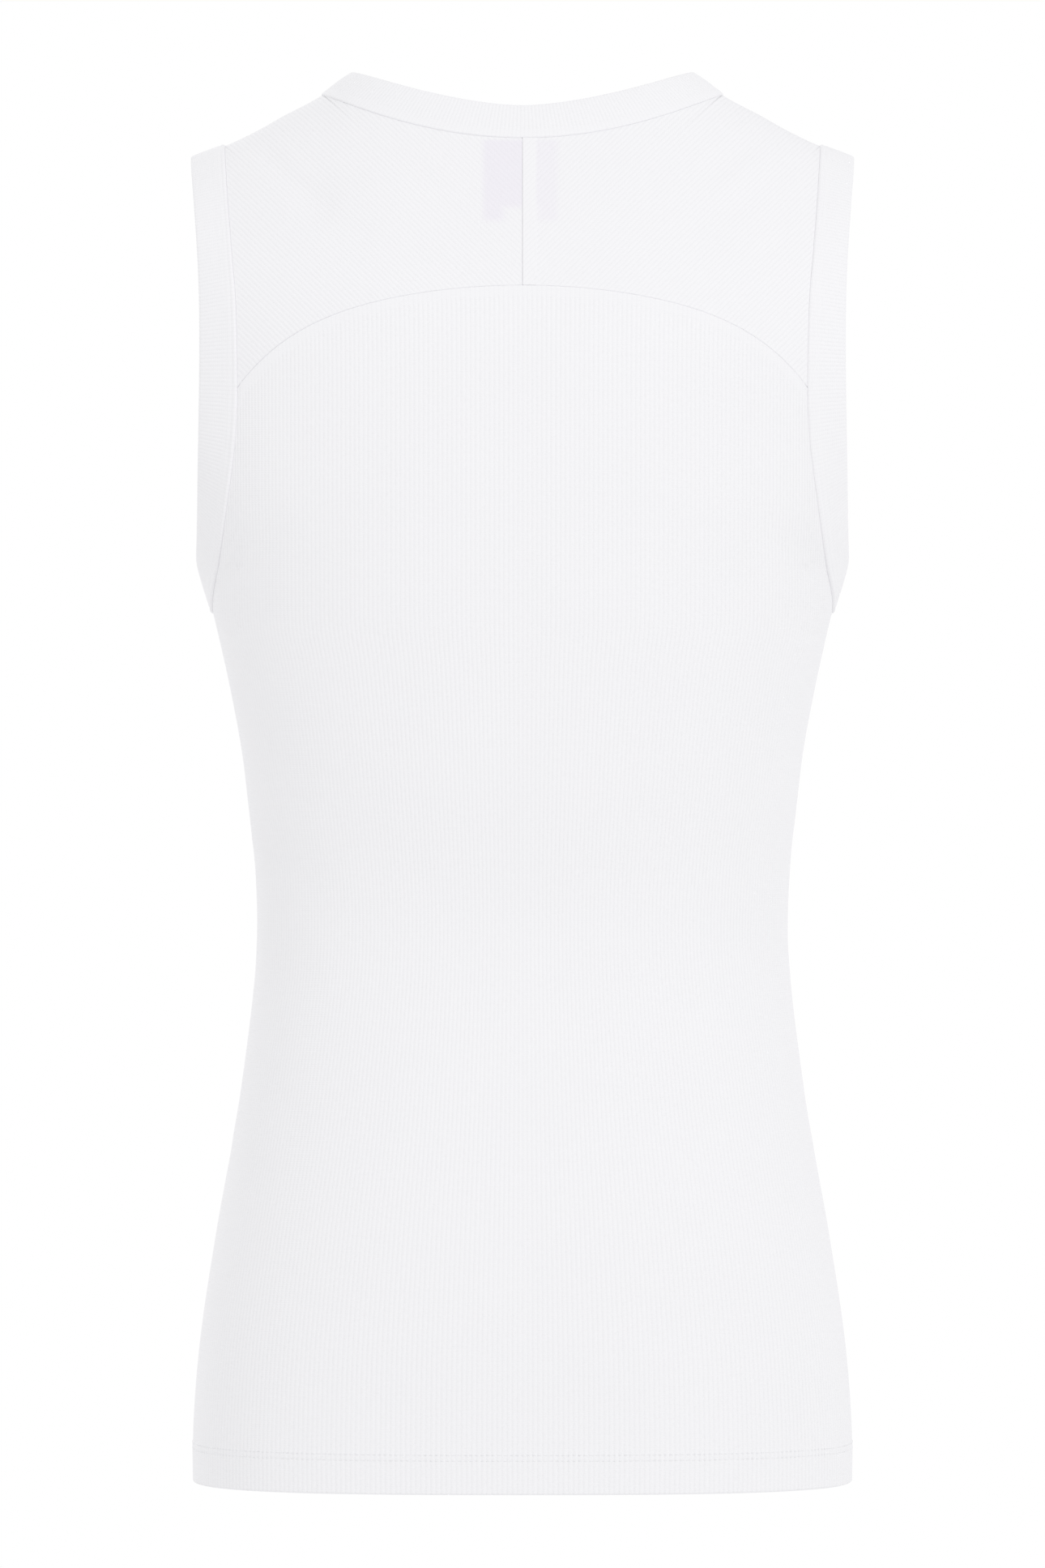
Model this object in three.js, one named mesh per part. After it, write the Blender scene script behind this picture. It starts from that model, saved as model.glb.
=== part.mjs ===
// A ribbed tank top, filled out as if worn, in millimetres with +Z up.
// The front faces -Y, the back faces +Y and the wearer's left is +X.
// The origin lies midway between the two shoulder seams, at the height of their inner faces.
// Heights in the tables are measured up from the hem.
import * as THREE from "three";

// Driving heights and half breadths.
const CARRY_HEIGHT = 701.5; // the shoulder seams' inner faces, which is where a wearer holds the garment
const ARMPIT_HEIGHT = 448.4;
const YOKE_CORNER_HEIGHT = 562; // where the yoke seam meets the armhole, at its narrowest
const YOKE_CENTRE_HEIGHT = 613.1;
const CLOSING_HEIGHT = 580; // above this the front and the back round over towards the shoulder line
const NECK_SIDE_X = 104;
const NECK_EDGE_X = 87.8; // the neckband's free edge, at the shoulder
const NECK_BACK_HEIGHT = 690.9;
const NECK_FRONT_HEIGHT = 617;
const NECK_EDGE_BACK_HEIGHT = 708.6;
const NECK_EDGE_FRONT_HEIGHT = 636.5;

// Cloth.
const WALL = 1.6; // from the ribs' crests to the plain inside
const RIB_DEPTH = 0.5;
const BAND_RISE = 0.5; // how far a band's crests stand out past the body's
const BAND_WALL = 2; // from the body's outer face in to a band's inner face
const BAND_BULGE = 0.5;
const HEM_WIDTH = 19;
const HEM_STEP = 2; // over which the hem's double layer thins to one
const HEM_RISE = 0.3;
const HEM_INSIDE = 0.9;
const SEAM_GAP = 0.34;

// Ribs. One solid rib stands for about three of the cloth's.
const RIBS_TO_NECK_SIDE = 12;
const RIBS_TO_CORNER = 6;
const RIBS_TO_SIDE = 8;
const YOKE_RIBS = 30;
const NECKBAND_RIBS = { back: 28, front: 36 };
const ARMBAND_RIBS = { back: 30, front: 30 };
const COLUMNS_A_RIB = 2;
const INSIDE_EVERY = 4; // the plain inside keeps one column in four
const CURVED_INSIDE_EVERY = 2; // and one in two beside the armholes and in the yoke

// Rows.
const LOWER_ROWS = 12;
const UPPER_ROWS = 8;
const ARMHOLE_ROWS = 22;
const ARMHOLE_STEP = 5;
const ROW_CROWDING = 1.5; // more crowds the rows towards the upper edge
const YOKE_ROW_LENGTH = 17;

// Steps of the working out: points measured along a curve, halvings of a search, and a small step aside.
const COLUMN_SAMPLES = 80;
const BAND_SAMPLES = 600;
const HALVINGS = 45;
const SMALL_STEP = 0.01;

// Half the breadth from side to side, how far the back and the front stand out from the side seams, and how
// square the section is: 2 is an ellipse. Above the armpit the breadth is where the section would close if
// it ran on round the arm.
const SECTIONS = [
  { height: 0, breadth: 170.3, back: 118, front: 105, power: 2.8 },
  { height: 30, breadth: 170.3, back: 119.5, front: 104, power: 2.75 },
  { height: 75, breadth: 166.6, back: 121.8, front: 102.5, power: 2.65 },
  { height: 130, breadth: 158.3, back: 118.5, front: 101, power: 2.55 },
  { height: 200, breadth: 146.1, back: 106, front: 99.5, power: 2.5 },
  { height: 285, breadth: 137.5, back: 92, front: 96, power: 2.5 },
  { height: 365, breadth: 143.8, back: 103.7, front: 105.7, power: 2.5 },
  { height: 405, breadth: 150.5, back: 108.5, front: 112, power: 2.5 },
  { height: 448.4, breadth: 160.2, back: 113.2, front: 117.6, power: 2.5 },
  { height: 470, breadth: 165.9, back: 114.4, front: 117.4, power: 2.5 },
  { height: 490, breadth: 174.6, back: 115.3, front: 116.5, power: 2.5 },
  { height: 513, breadth: 183, back: 116, front: 115, power: 2.5 },
  { height: 554, breadth: 193.4, back: 115, front: 107.5, power: 2.5 },
  { height: 580, breadth: 200, back: 113, front: 100, power: 2.5 },
  { height: 620, breadth: 206, back: 105, front: 88, power: 2.5 },
  { height: 660, breadth: 207, back: 88.4, front: 74.4, power: 2.5 },
  { height: 691, breadth: 206.5, back: 76, front: 62, power: 2.5 },
  { height: 730, breadth: 205, back: 63.6, front: 50, power: 2.5 },
];

// The armhole seam, the same in front and at the back: how far out it runs at each height.
const ARMHOLE = [
  { height: ARMPIT_HEIGHT, x: 160.2 },
  { height: 456.7, x: 159.5 },
  { height: 469.6, x: 156.6 },
  { height: 488.3, x: 153.1 },
  { height: 511.6, x: 149.5 },
  { height: 530.4, x: 146.9 },
  { height: 548, x: 145.6 },
  { height: YOKE_CORNER_HEIGHT, x: 145.2 },
  { height: 585, x: 145.5 },
  { height: 609.8, x: 146.5 },
  { height: 631.7, x: 148.6 },
  { height: 658.5, x: 151.2 },
  { height: 690.6, x: 154.1 },
];

// The shoulder line, where front and back meet on top. Inside the neck it runs on to carry the neckband.
const SHOULDER = [
  { x: 0, height: 758 },
  { x: 40, height: 752.5 },
  { x: 70, height: 741 },
  { x: NECK_EDGE_X, height: 728.8 },
  { x: NECK_SIDE_X, height: 716.8 },
  { x: 124.3, height: 705.9 },
  { x: 137.8, height: 698.3 },
  { x: 154.1, height: 690.6 },
  { x: 172, height: 684 },
];

// An armband's free edge at the back, from below the arm up to the shoulder.
const ARMBAND_EDGE = [
  { height: 470.5, x: 167.4, back: 0 },
  { height: 476.5, x: 168.2, back: 28 },
  { height: 488, x: 167.6, back: 43 },
  { height: 503, x: 167, back: 55.5 },
  { height: 521, x: 166.5, back: 67 },
  { height: 545, x: 165.8, back: 76 },
  { height: 575, x: 165.2, back: 80 },
  { height: 600, x: 165.3, back: 78 },
  { height: 620, x: 166, back: 72 },
  { height: 640, x: 167.3, back: 62 },
  { height: 660, x: 169.2, back: 45.5 },
  { height: 677, x: 171.2, back: 22.5 },
  { height: 684.5, x: 172, back: 0 },
];

// Soft drag lines across each yoke: x and height at both ends, half width and depth.
const DRAG_LINES = [
  { x: 129, height: 698, toX: 84, toHeight: 664, width: 8, depth: 1.4 },
  { x: 118, height: 672, toX: 74, toHeight: 640, width: 10, depth: 1 },
];

const BACK = 1;
const FRONT = -1;
const last = (list) => list[list.length - 1];
const countTo = (count) => Array.from({ length: count + 1 }, (_, index) => index);

// A smooth curve through two columns of a table. Its slope at a row is that of the line between the rows on
// either side, and past the ends it runs on straight.
function curveThrough(rows, along, value) {
  const slopeOf = (from, to) =>
    (rows[to][value] - rows[from][value]) / (rows[to][along] - rows[from][along]);
  const end = rows.length - 1;
  const slopes = rows.map((_, row) => slopeOf(Math.max(row - 1, 0), Math.min(row + 1, end)));
  return (at) => {
    if (at <= rows[0][along]) return rows[0][value] + slopes[0] * (at - rows[0][along]);
    if (at >= rows[end][along]) return rows[end][value] + slopes[end] * (at - rows[end][along]);
    const to = rows.findIndex((row) => row[along] >= at);
    const from = to - 1;
    const span = rows[to][along] - rows[from][along];
    const t = (at - rows[from][along]) / span;
    const blend = t * t * (3 - 2 * t);
    return (
      rows[from][value] * (1 - blend) +
      rows[to][value] * blend +
      span * t * (1 - t) * (slopes[from] * (1 - t) - slopes[to] * t)
    );
  };
}

const breadthAt = curveThrough(SECTIONS, "height", "breadth");
const backAt = curveThrough(SECTIONS, "height", "back");
const frontAt = curveThrough(SECTIONS, "height", "front");
const powerAt = curveThrough(SECTIONS, "height", "power");
const armholeAt = curveThrough(ARMHOLE, "height", "x");
const shoulderAt = curveThrough(SHOULDER, "x", "height");
const bulgeAt = (side, height) => (side === BACK ? backAt(height) : frontAt(height));
const CORNER_X = armholeAt(YOKE_CORNER_HEIGHT);
const ARMPIT_X = armholeAt(ARMPIT_HEIGHT);
const SHOULDER_TIP = last(ARMHOLE);
const CLOSING_POWER = 2.1;

// The cloth's outer face
// At each height the section is a superellipse, and near the shoulder line it also closes over the top.

function closureAt(x, height) {
  const rise = (height - CLOSING_HEIGHT) / (shoulderAt(Math.abs(x)) - CLOSING_HEIGHT);
  return THREE.MathUtils.clamp(rise, 0, 1) ** CLOSING_POWER;
}

function standOut(side, x, height) {
  const power = powerAt(height);
  const across = Math.max(0, 1 - (Math.abs(x) / breadthAt(height)) ** power) ** (1 / power);
  return bulgeAt(side, height) * across * (1 - closureAt(x, height)) ** (1 / CLOSING_POWER);
}

// Nought on the outer face and more outside it. Two forms of the same surface: the first is smooth at the
// side seams and the second at the shoulder line.
function outsideBy(side, x, y, height, closing) {
  const power = powerAt(height);
  const across = (Math.abs(x) / breadthAt(height)) ** power;
  if (!closing) return across + (Math.abs(y) / bulgeAt(side, height)) ** power - 1;
  const flat = bulgeAt(side, height) * (1 - across) ** (1 / power);
  const rise = (height - CLOSING_HEIGHT) / (shoulderAt(Math.abs(x)) - CLOSING_HEIGHT);
  return (Math.abs(y) / flat) ** CLOSING_POWER + Math.max(rise, 0) ** CLOSING_POWER - 1;
}

function wayOut(side, x, y, height) {
  const step = SMALL_STEP;
  const closing = height > CLOSING_HEIGHT;
  const slope = (dx, dy, dh) =>
    outsideBy(side, x + dx, y + dy, height + dh, closing) -
    outsideBy(side, x - dx, y - dy, height - dh, closing);
  return new THREE.Vector3(slope(step, 0, 0), slope(0, step, 0), slope(0, 0, step)).normalize();
}

function dragAt(x, height) {
  let sum = 0;
  for (const line of DRAG_LINES) {
    const run = new THREE.Vector2(line.toX - line.x, line.toHeight - line.height);
    const from = new THREE.Vector2(Math.abs(x) - line.x, height - line.height);
    const along = from.dot(run) / run.lengthSq();
    const aside = from.cross(run) / run.length();
    const taper = 1 - THREE.MathUtils.clamp(Math.abs(2 * along - 1), 0, 1) ** 2;
    sum += line.depth * taper * Math.exp(-((aside / line.width) ** 2));
  }
  return sum;
}

// A panel's flat picture is bent a little, so that no three points of a straight seam lie on one line.
const FLAT_BEND = 1e-5;

// A vertex of a piece: a place on the outer face, the way out, and how far its own outer and inner faces lie
// out from there. Its shift pulls it back from a seam, and flat is its place on the panel's flat picture.
function vertexAt(side, x, y, height, rise = 0, inside = -WALL) {
  const out = wayOut(side, x, y, height);
  const drag = side === BACK ? dragAt(x, height) : 0;
  const place = new THREE.Vector3(x, y, height - CARRY_HEIGHT).addScaledVector(out, -drag);
  const flat = new THREE.Vector2(FLAT_BEND * height ** 2 - side * x, height);
  return { place, flat, out, rise, inside, shift: new THREE.Vector3() };
}

const vertexOn = (side, x, height, rise) =>
  vertexAt(side, x, side * standOut(side, x, height), height, rise);

// A closed wall of cloth, built up from strips of triangles between lists of vertices
class Cloth {
  constructor() {
    this.points = [];
    this.triangles = [];
    this.known = { outer: new Map(), inner: new Map() };
  }

  pointOf(vertex, face) {
    const known = this.known[face];
    if (!known.has(vertex)) {
      known.set(vertex, this.points.length);
      const offset = face === "outer" ? vertex.rise : vertex.inside;
      this.points.push(vertex.place.clone().add(vertex.shift).addScaledVector(vertex.out, offset));
    }
    return known.get(vertex);
  }

  triangle(a, b, c) {
    if (a !== b && b !== c && c !== a) this.triangles.push(a, b, c);
  }

  // Fills between two lists of points that run side by side, left and right as seen from the front of the
  // strip, always across the shorter diagonal.
  strip(left, right) {
    let i = 0;
    let j = 0;
    while (i < left.length - 1 || j < right.length - 1) {
      const upLeft = i < left.length - 1 ? this.gap(left[i + 1], right[j]) : Infinity;
      const upRight = j < right.length - 1 ? this.gap(left[i], right[j + 1]) : Infinity;
      if (upLeft <= upRight) {
        this.triangle(left[i], right[j], left[i + 1]);
        i += 1;
      } else {
        this.triangle(left[i], right[j], right[j + 1]);
        j += 1;
      }
    }
  }

  gap(a, b) {
    return this.points[a].distanceToSquared(this.points[b]);
  }

  // A list's points on one face, as seen from outside the garment: the inner face is turned over.
  fill(face, left, right) {
    const points = (list) => list.map((vertex) => this.pointOf(vertex, face));
    if (face === "outer") this.strip(points(left), points(right));
    else this.strip(points(right), points(left));
  }

  // A small patch inside a ring of vertices, counter-clockwise as seen from outside the garment. It is
  // worked out on the panel's flat picture, or on a band in the plane of its first edge.
  patch(face, ring) {
    const list = ring.filter((vertex, i) => vertex !== ring[(i + 1) % ring.length]);
    if (list.length < 3) return;
    const across = list[1].place.clone().sub(list[0].place).normalize();
    const up = list[0].out.clone().cross(across).normalize();
    const ids = list.map((vertex) => this.pointOf(vertex, face));
    const flatOf = ({ flat, place }) => flat ?? new THREE.Vector2(place.dot(across), place.dot(up));
    const flat = list.map(flatOf);
    const turnOf = (a, b, c) => flat[b].clone().sub(flat[a]).cross(flat[c].clone().sub(flat[a]));
    const found = THREE.ShapeUtils.triangulateShape(flat, []);
    const turned = found.map(([a, b, c]) => (turnOf(a, b, c) > 0 ? [a, b, c] : [a, c, b]));
    this.shorten(turned, turnOf, (a, b) => this.gap(ids[a], ids[b]));
    for (const [a, b, c] of turned) {
      if (face === "outer") this.triangle(ids[a], ids[b], ids[c]);
      else this.triangle(ids[a], ids[c], ids[b]);
    }
  }

  // Swaps the shared edge of two triangles for the other diagonal wherever that is shorter.
  shorten(triangles, turnOf, gapOf) {
    const opposite = ([a, b, c], from, to) => {
      if (a === from && b === to) return c;
      if (b === from && c === to) return a;
      return c === from && a === to ? b : undefined;
    };
    for (let turn = 0; turn < triangles.length; turn += 1) {
      let swaps = 0;
      for (let one = 0; one < triangles.length; one += 1) {
        for (let corner = 0; corner < 3; corner += 1) {
          const a = triangles[one][corner];
          const b = triangles[one][(corner + 1) % 3];
          const c = triangles[one][(corner + 2) % 3];
          const two = triangles.findIndex((other) => opposite(other, b, a) !== undefined);
          if (two < 0) continue;
          const d = opposite(triangles[two], b, a);
          if (gapOf(c, d) >= gapOf(a, b) || turnOf(a, d, c) <= 0 || turnOf(d, b, c) <= 0) continue;
          triangles[one] = [a, d, c];
          triangles[two] = [d, b, c];
          swaps += 1;
        }
      }
      if (swaps === 0) return;
    }
  }

  // Fills between two columns, with further vertices on the lower edge (from left to right) and on the upper
  // one (from right to left). Rows that touch such an edge become patches.
  cell(face, left, right, feet, tops) {
    const isLower = last(left).place.z <= last(right).place.z;
    const isLeftShort = left.length === right.length ? isLower : left.length < right.length;
    const short = isLeftShort ? left : right;
    const long = short === left ? right : left;
    const nearest = (vertex) => {
      const gaps = long.map((other) => other.place.distanceToSquared(vertex.place));
      return gaps.indexOf(Math.min(...gaps));
    };
    const cut = (shortRow, longEnd, needed) => {
      const longRow = needed && shortRow >= 0 ? nearest(short[shortRow]) : longEnd;
      return short === left ? [shortRow, longRow] : [longRow, shortRow];
    };
    const footCut = cut(feet.length ? 1 : 0, 0, feet.length > 0 && short.length > 1);
    const topCut = cut(short.length - (tops.length ? 2 : 1), long.length - 1, tops.length > 0);
    const isShort = [0, 1].some((end) => footCut[end] > topCut[end] || topCut[end] < 0);
    const down = (list) => list.toReversed();
    if (isShort) {
      this.patch(face, [left[0], ...feet, ...right, ...tops, ...down(left.slice(1))]);
      return;
    }
    const [leftFoot, rightFoot] = footCut;
    const [leftTop, rightTop] = topCut;
    const lowLeft = down(left.slice(1, leftFoot + 1));
    if (feet.length) this.patch(face, [left[0], ...feet, ...right.slice(0, rightFoot + 1), ...lowLeft]);
    this.fill(face, left.slice(leftFoot, leftTop + 1), right.slice(rightFoot, rightTop + 1));
    const highLeft = down(left.slice(leftTop));
    if (tops.length) this.patch(face, [...right.slice(rightTop), ...tops, ...highLeft]);
  }

  // The cut edge, from lists that run round the piece with its cloth on the left.
  edge(outer, inner = outer) {
    const points = (list, face) => list.map((vertex) => this.pointOf(vertex, face));
    this.strip(points(outer, "outer"), points(inner, "inner"));
  }

  // Both faces of a panel of columns, which run from its lower edge to its upper one and are listed from
  // left to right. The inner face has only the columns that keeps() names, and every vertex of an edge that
  // is fine. heads[i] holds further vertices of the upper edge, between columns i and i + 1.
  panel(columns, { heads = [], keeps = () => true, fineFeet = () => true, fineHeads = () => true }) {
    let from = 0;
    for (let i = 1; i < columns.length; i += 1) {
      this.cell("outer", columns[i - 1], columns[i], [], (heads[i - 1] ?? []).toReversed());
      if (!keeps(i) && i < columns.length - 1) continue;
      const feet = feetOf(columns.slice(from + 1, i));
      const tops = upperEdge(columns.slice(from, i + 1), heads.slice(from, i)).slice(1, -1);
      this.cell("inner", columns[from], columns[i], fineFeet(i) ? feet : [], fineHeads(i) ? tops : []);
      from = i;
    }
  }

  geometry() {
    const made = new THREE.BufferGeometry().setFromPoints(this.points);
    made.setIndex(this.triangles);
    return made;
  }
}

// The lower edge of a panel, from left to right.
function feetOf(columns) {
  return columns.map((column) => column[0]);
}

// The upper edge of a panel, from right to left.
function upperEdge(columns, heads) {
  return columns.flatMap((column, i) => [last(column), ...(heads[i] ?? [])]).toReversed();
}

// Pulls a list of vertices back from its seam, half the gap each. The list runs round the piece with its
// cloth on the left, and a loop's list doesn't repeat its start.
function pullBack(list, isLoop = false) {
  const inward = list.map((vertex, i) => {
    const before = list[i - 1] ?? (isLoop ? last(list) : vertex);
    const after = list[i + 1] ?? (isLoop ? list[0] : vertex);
    const along = after.place.clone().sub(before.place);
    return vertex.out.clone().cross(along).normalize();
  });
  list.forEach((vertex, i) => vertex.shift.addScaledVector(inward[i], SEAM_GAP / 2));
}

// Columns of the front and the back
// Below the armpit a column keeps its share of the way from the centre to the side seam, as the ribs do.
// Above it a column runs straight up and is cut off where it meets the armhole, the yoke or the neck.

const ARC_STEPS = 160;
const anglePoint = (side, height, angle) => ({
  x: breadthAt(height) * Math.sin(angle) ** (2 / powerAt(height)),
  y: side * bulgeAt(side, height) * Math.cos(angle) ** (2 / powerAt(height)),
});

function arcTo(side, height) {
  const arc = [{ angle: 0, length: 0 }];
  let before = anglePoint(side, height, 0);
  for (let step = 1; step <= ARC_STEPS; step += 1) {
    const angle = (Math.PI / 2) * (step / ARC_STEPS);
    const point = anglePoint(side, height, angle);
    const length = last(arc).length + Math.hypot(point.x - before.x, point.y - before.y);
    arc.push({ angle, length });
    before = point;
  }
  return arc;
}

function shareOf(side, x) {
  const arc = arcTo(side, ARMPIT_HEIGHT);
  const angle = Math.asin((x / ARMPIT_X) ** (powerAt(ARMPIT_HEIGHT) / 2));
  return curveThrough(arc, "angle", "length")(angle) / last(arc).length;
}

function sectionPoint(side, height, share) {
  const arc = arcTo(side, height);
  const angle = curveThrough(arc, "length", "angle")(Math.abs(share) * last(arc).length);
  const point = anglePoint(side, height, Math.min(angle, Math.PI / 2));
  return { x: Math.sign(share) * point.x, y: Math.abs(share) === 1 ? 0 : point.y };
}

const fanAt = (height) => (height > YOKE_CORNER_HEIGHT ? armholeAt(height) / CORNER_X : 1);
const LEAN_POWER = 4;

// A column's x above the armpit. Those next to the side seam lean out with the body as they rise.
function columnX(column, height) {
  const reach = Math.abs(column.reach);
  const lean = Math.max(0, (reach - CORNER_X) / (ARMPIT_X - CORNER_X)) ** LEAN_POWER;
  const x = (reach + (breadthAt(height) - ARMPIT_X) * lean) * fanAt(height);
  return Math.sign(column.reach) * x;
}

// The arch of the yoke seam drops from the centre by two powers of x: a flat one, which has this share of
// the whole drop, and a steep one.
const ARCH_FLAT_SHARE = 0.588;
const ARCH_FLAT_POWER = 2;
const ARCH_STEEP_POWER = 6;
const archAt = (x) => {
  const across = Math.abs(x) / CORNER_X;
  const flat = ARCH_FLAT_SHARE * across ** ARCH_FLAT_POWER;
  const steep = (1 - ARCH_FLAT_SHARE) * across ** ARCH_STEEP_POWER;
  return YOKE_CENTRE_HEIGHT - (YOKE_CENTRE_HEIGHT - YOKE_CORNER_HEIGHT) * (flat + steep);
};

// The neckline and the neckband's free edge rise from the centre by a power of x.
const NECK_BACK_POWER = 2;
const NECK_FRONT_POWER = 2.6;
const NECK_EDGE_BACK_POWER = 1.65;
const neckHeight = (low, top, share, power) => low + (top - low) * share ** power;
const NECK_SIDE_HEIGHT = shoulderAt(NECK_SIDE_X);
const neckBackAt = (x) =>
  neckHeight(NECK_BACK_HEIGHT, NECK_SIDE_HEIGHT, Math.abs(x) / NECK_SIDE_X, NECK_BACK_POWER);
const neckFrontAt = (x) =>
  neckHeight(NECK_FRONT_HEIGHT, NECK_SIDE_HEIGHT, Math.abs(x) / NECK_SIDE_X, NECK_FRONT_POWER);

// The height at which a rising column meets a line above it, by halving.
function meets(column, from, to, isPast) {
  if (isPast(Math.abs(columnX(column, from)), from)) return from;
  let low = from;
  let high = to;
  for (let turn = 0; turn < HALVINGS; turn += 1) {
    const middle = (low + high) / 2;
    if (isPast(Math.abs(columnX(column, middle)), middle)) high = middle;
    else low = middle;
  }
  return high;
}

const pastArmhole = (x, height) => x >= armholeAt(height);
const pastArch = (x, height) => height >= archAt(x);
const pastTop = (x, height) => height >= (x < NECK_SIDE_X ? neckFrontAt(x) : shoulderAt(x));
const HIGHEST = 730; // above every place where a column meets its seam

// Shares of the way from one side seam to the other, two columns a rib, with a whole number of ribs between
// the stops.
function columnsBetween(side, stops) {
  const half = [];
  for (let zone = 0; zone < stops.length - 1; zone += 1) {
    const count = stops[zone].ribs * COLUMNS_A_RIB;
    const width = stops[zone + 1].share - stops[zone].share;
    for (let i = 0; i < count; i += 1) half.push(stops[zone].share + (width * i) / count);
  }
  half.push(1);
  const shares = [...half.slice(1).toReversed(), ...half.map((share) => -share)];
  return shares.map((share, i) => {
    const signed = share * side;
    const reach = sectionPoint(side, ARMPIT_HEIGHT, signed).x;
    return { share: signed, reach, rise: i % COLUMNS_A_RIB === 0 ? -RIB_DEPTH : 0 };
  });
}

function columnVertex(side, column, height) {
  const hem = 1 - THREE.MathUtils.smoothstep(height, HEM_WIDTH, HEM_WIDTH + HEM_STEP);
  const rise = column.rise + HEM_RISE * hem;
  const inside = -WALL - HEM_INSIDE * hem;
  if (height <= ARMPIT_HEIGHT) {
    const point = sectionPoint(side, height, column.share);
    return vertexAt(side, point.x, point.y, height, rise, inside);
  }
  return vertexOn(side, columnX(column, height), height, rise);
}

// From the hem up to the given height, with rows at the hem's own fold and step.
function lowerColumn(side, column, top) {
  const start = HEM_WIDTH + HEM_STEP;
  const above = countTo(LOWER_ROWS).map((row) => start + ((top - start) * row) / LOWER_ROWS);
  return [0, HEM_WIDTH, ...above].map((height) => columnVertex(side, column, height));
}

// From the yoke corner's height on up, the rows even along the cloth but for the crowding near the top.
function upperColumn(column, foot, top, rows) {
  const run = [{ height: YOKE_CORNER_HEIGHT, length: 0 }];
  let before = columnVertex(FRONT, column, YOKE_CORNER_HEIGHT).place;
  for (let i = 1; i <= COLUMN_SAMPLES; i += 1) {
    const height = top - (top - YOKE_CORNER_HEIGHT) * (1 - i / COLUMN_SAMPLES) ** 2;
    const { place } = columnVertex(FRONT, column, height);
    run.push({ height, length: last(run).length + place.distanceTo(before) });
    before = place;
  }
  const heightAt = curveThrough(run, "length", "height");
  const inner = countTo(rows).slice(1, -1);
  const heights = inner.map((row) => heightAt(last(run).length * (1 - (1 - row / rows) ** ROW_CROWDING)));
  return [foot, ...[...heights, top].map((height) => columnVertex(FRONT, column, height))];
}

// Further vertices along the front neck seam, between a column that ends on it and the next one towards the
// shoulder, where the seam turns over quickly.
const NECK_SIDE_STEPS = [0.5, 0.2, 0.05]; // shares of the way in from the neck side

function neckSideVertices(sign) {
  const rib = NECK_SIDE_X / (RIBS_TO_NECK_SIDE * COLUMNS_A_RIB);
  return NECK_SIDE_STEPS.map((share) => {
    const x = NECK_SIDE_X - rib * share;
    return vertexOn(FRONT, sign * x, neckFrontAt(x), -RIB_DEPTH / 2);
  });
}

// The armhole seam from the armpit (turn 0) to the shoulder (turn 1), with its points closer at both ends.
const armholeHeight = (turn) =>
  ARMPIT_HEIGHT + ((SHOULDER_TIP.height - ARMPIT_HEIGHT) * (1 - Math.cos(turn * Math.PI))) / 2;
const armholeTurn = (height) =>
  Math.acos(1 - (2 * (height - ARMPIT_HEIGHT)) / (SHOULDER_TIP.height - ARMPIT_HEIGHT)) / Math.PI;

function armholeVertex(side, sign, turn, rise) {
  const height = armholeHeight(turn);
  return vertexOn(side, sign * armholeAt(height), height, rise);
}

// Further vertices along the armhole between the tops of two neighbouring columns, from the left one.
function armholeVertices(side, leftTop, rightTop) {
  const from = armholeTurn(leftTop.flat.y);
  const to = armholeTurn(rightTop.flat.y);
  const count = Math.round(leftTop.place.distanceTo(rightTop.place) / ARMHOLE_STEP);
  const sign = Math.sign(leftTop.place.x);
  return countTo(count)
    .slice(1, -1)
    .map((i) => armholeVertex(side, sign, from + ((to - from) * i) / count, -RIB_DEPTH / 2));
}

// The further vertices for all the columns that end on the armhole, which are the outermost ones.
function armholeHeads(side, columns, outermost) {
  const tops = columns.map(last);
  return tops.slice(0, -1).map((top, i) => {
    const isOutside = i < outermost || i >= columns.length - 1 - outermost;
    return isOutside ? armholeVertices(side, top, tops[i + 1]) : [];
  });
}

const keepsColumn = (i) => i % INSIDE_EVERY === 0;
const keepsCurved = (i) => i % CURVED_INSIDE_EVERY === 0;
const keepsBeside = (outermost, count) => (i) =>
  keepsColumn(i) || (keepsCurved(i) && (i < outermost || i > count - 1 - outermost));

function backPanel() {
  const cloth = new Cloth();
  const corner = shareOf(BACK, CORNER_X);
  const plan = columnsBetween(BACK, [
    { share: 0, ribs: RIBS_TO_NECK_SIDE + RIBS_TO_CORNER },
    { share: corner, ribs: RIBS_TO_SIDE },
    { share: 1 },
  ]);
  const columns = plan.map((column) => {
    const past = Math.abs(column.share) > corner ? pastArmhole : pastArch;
    return lowerColumn(BACK, column, meets(column, ARMPIT_HEIGHT, HIGHEST, past));
  });
  const outermost = RIBS_TO_SIDE * COLUMNS_A_RIB;
  const heads = armholeHeads(BACK, columns, outermost);
  const tops = upperEdge(columns, heads);
  const rightCorner = tops.indexOf(last(columns[columns.length - 1 - outermost]));
  const leftCorner = tops.indexOf(last(columns[outermost]));
  pullBack(last(columns));
  pullBack(tops.slice(0, rightCorner + 1));
  pullBack(tops.slice(rightCorner, leftCorner + 1));
  pullBack(tops.slice(leftCorner));
  pullBack(columns[0].toReversed());
  const keeps = keepsBeside(outermost, columns.length);
  cloth.panel(columns, { keeps, heads, fineFeet: () => false });
  finishPanel(cloth, columns, tops, keeps);
  return cloth.geometry();
}

// The cut edge all round a panel whose inner hem is coarse.
function finishPanel(cloth, columns, tops, keeps) {
  const feet = feetOf(columns);
  cloth.edge(feet, feet.filter((_, i) => keeps(i)));
  cloth.edge(last(columns));
  cloth.edge(tops);
  cloth.edge(columns[0].toReversed());
}

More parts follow.
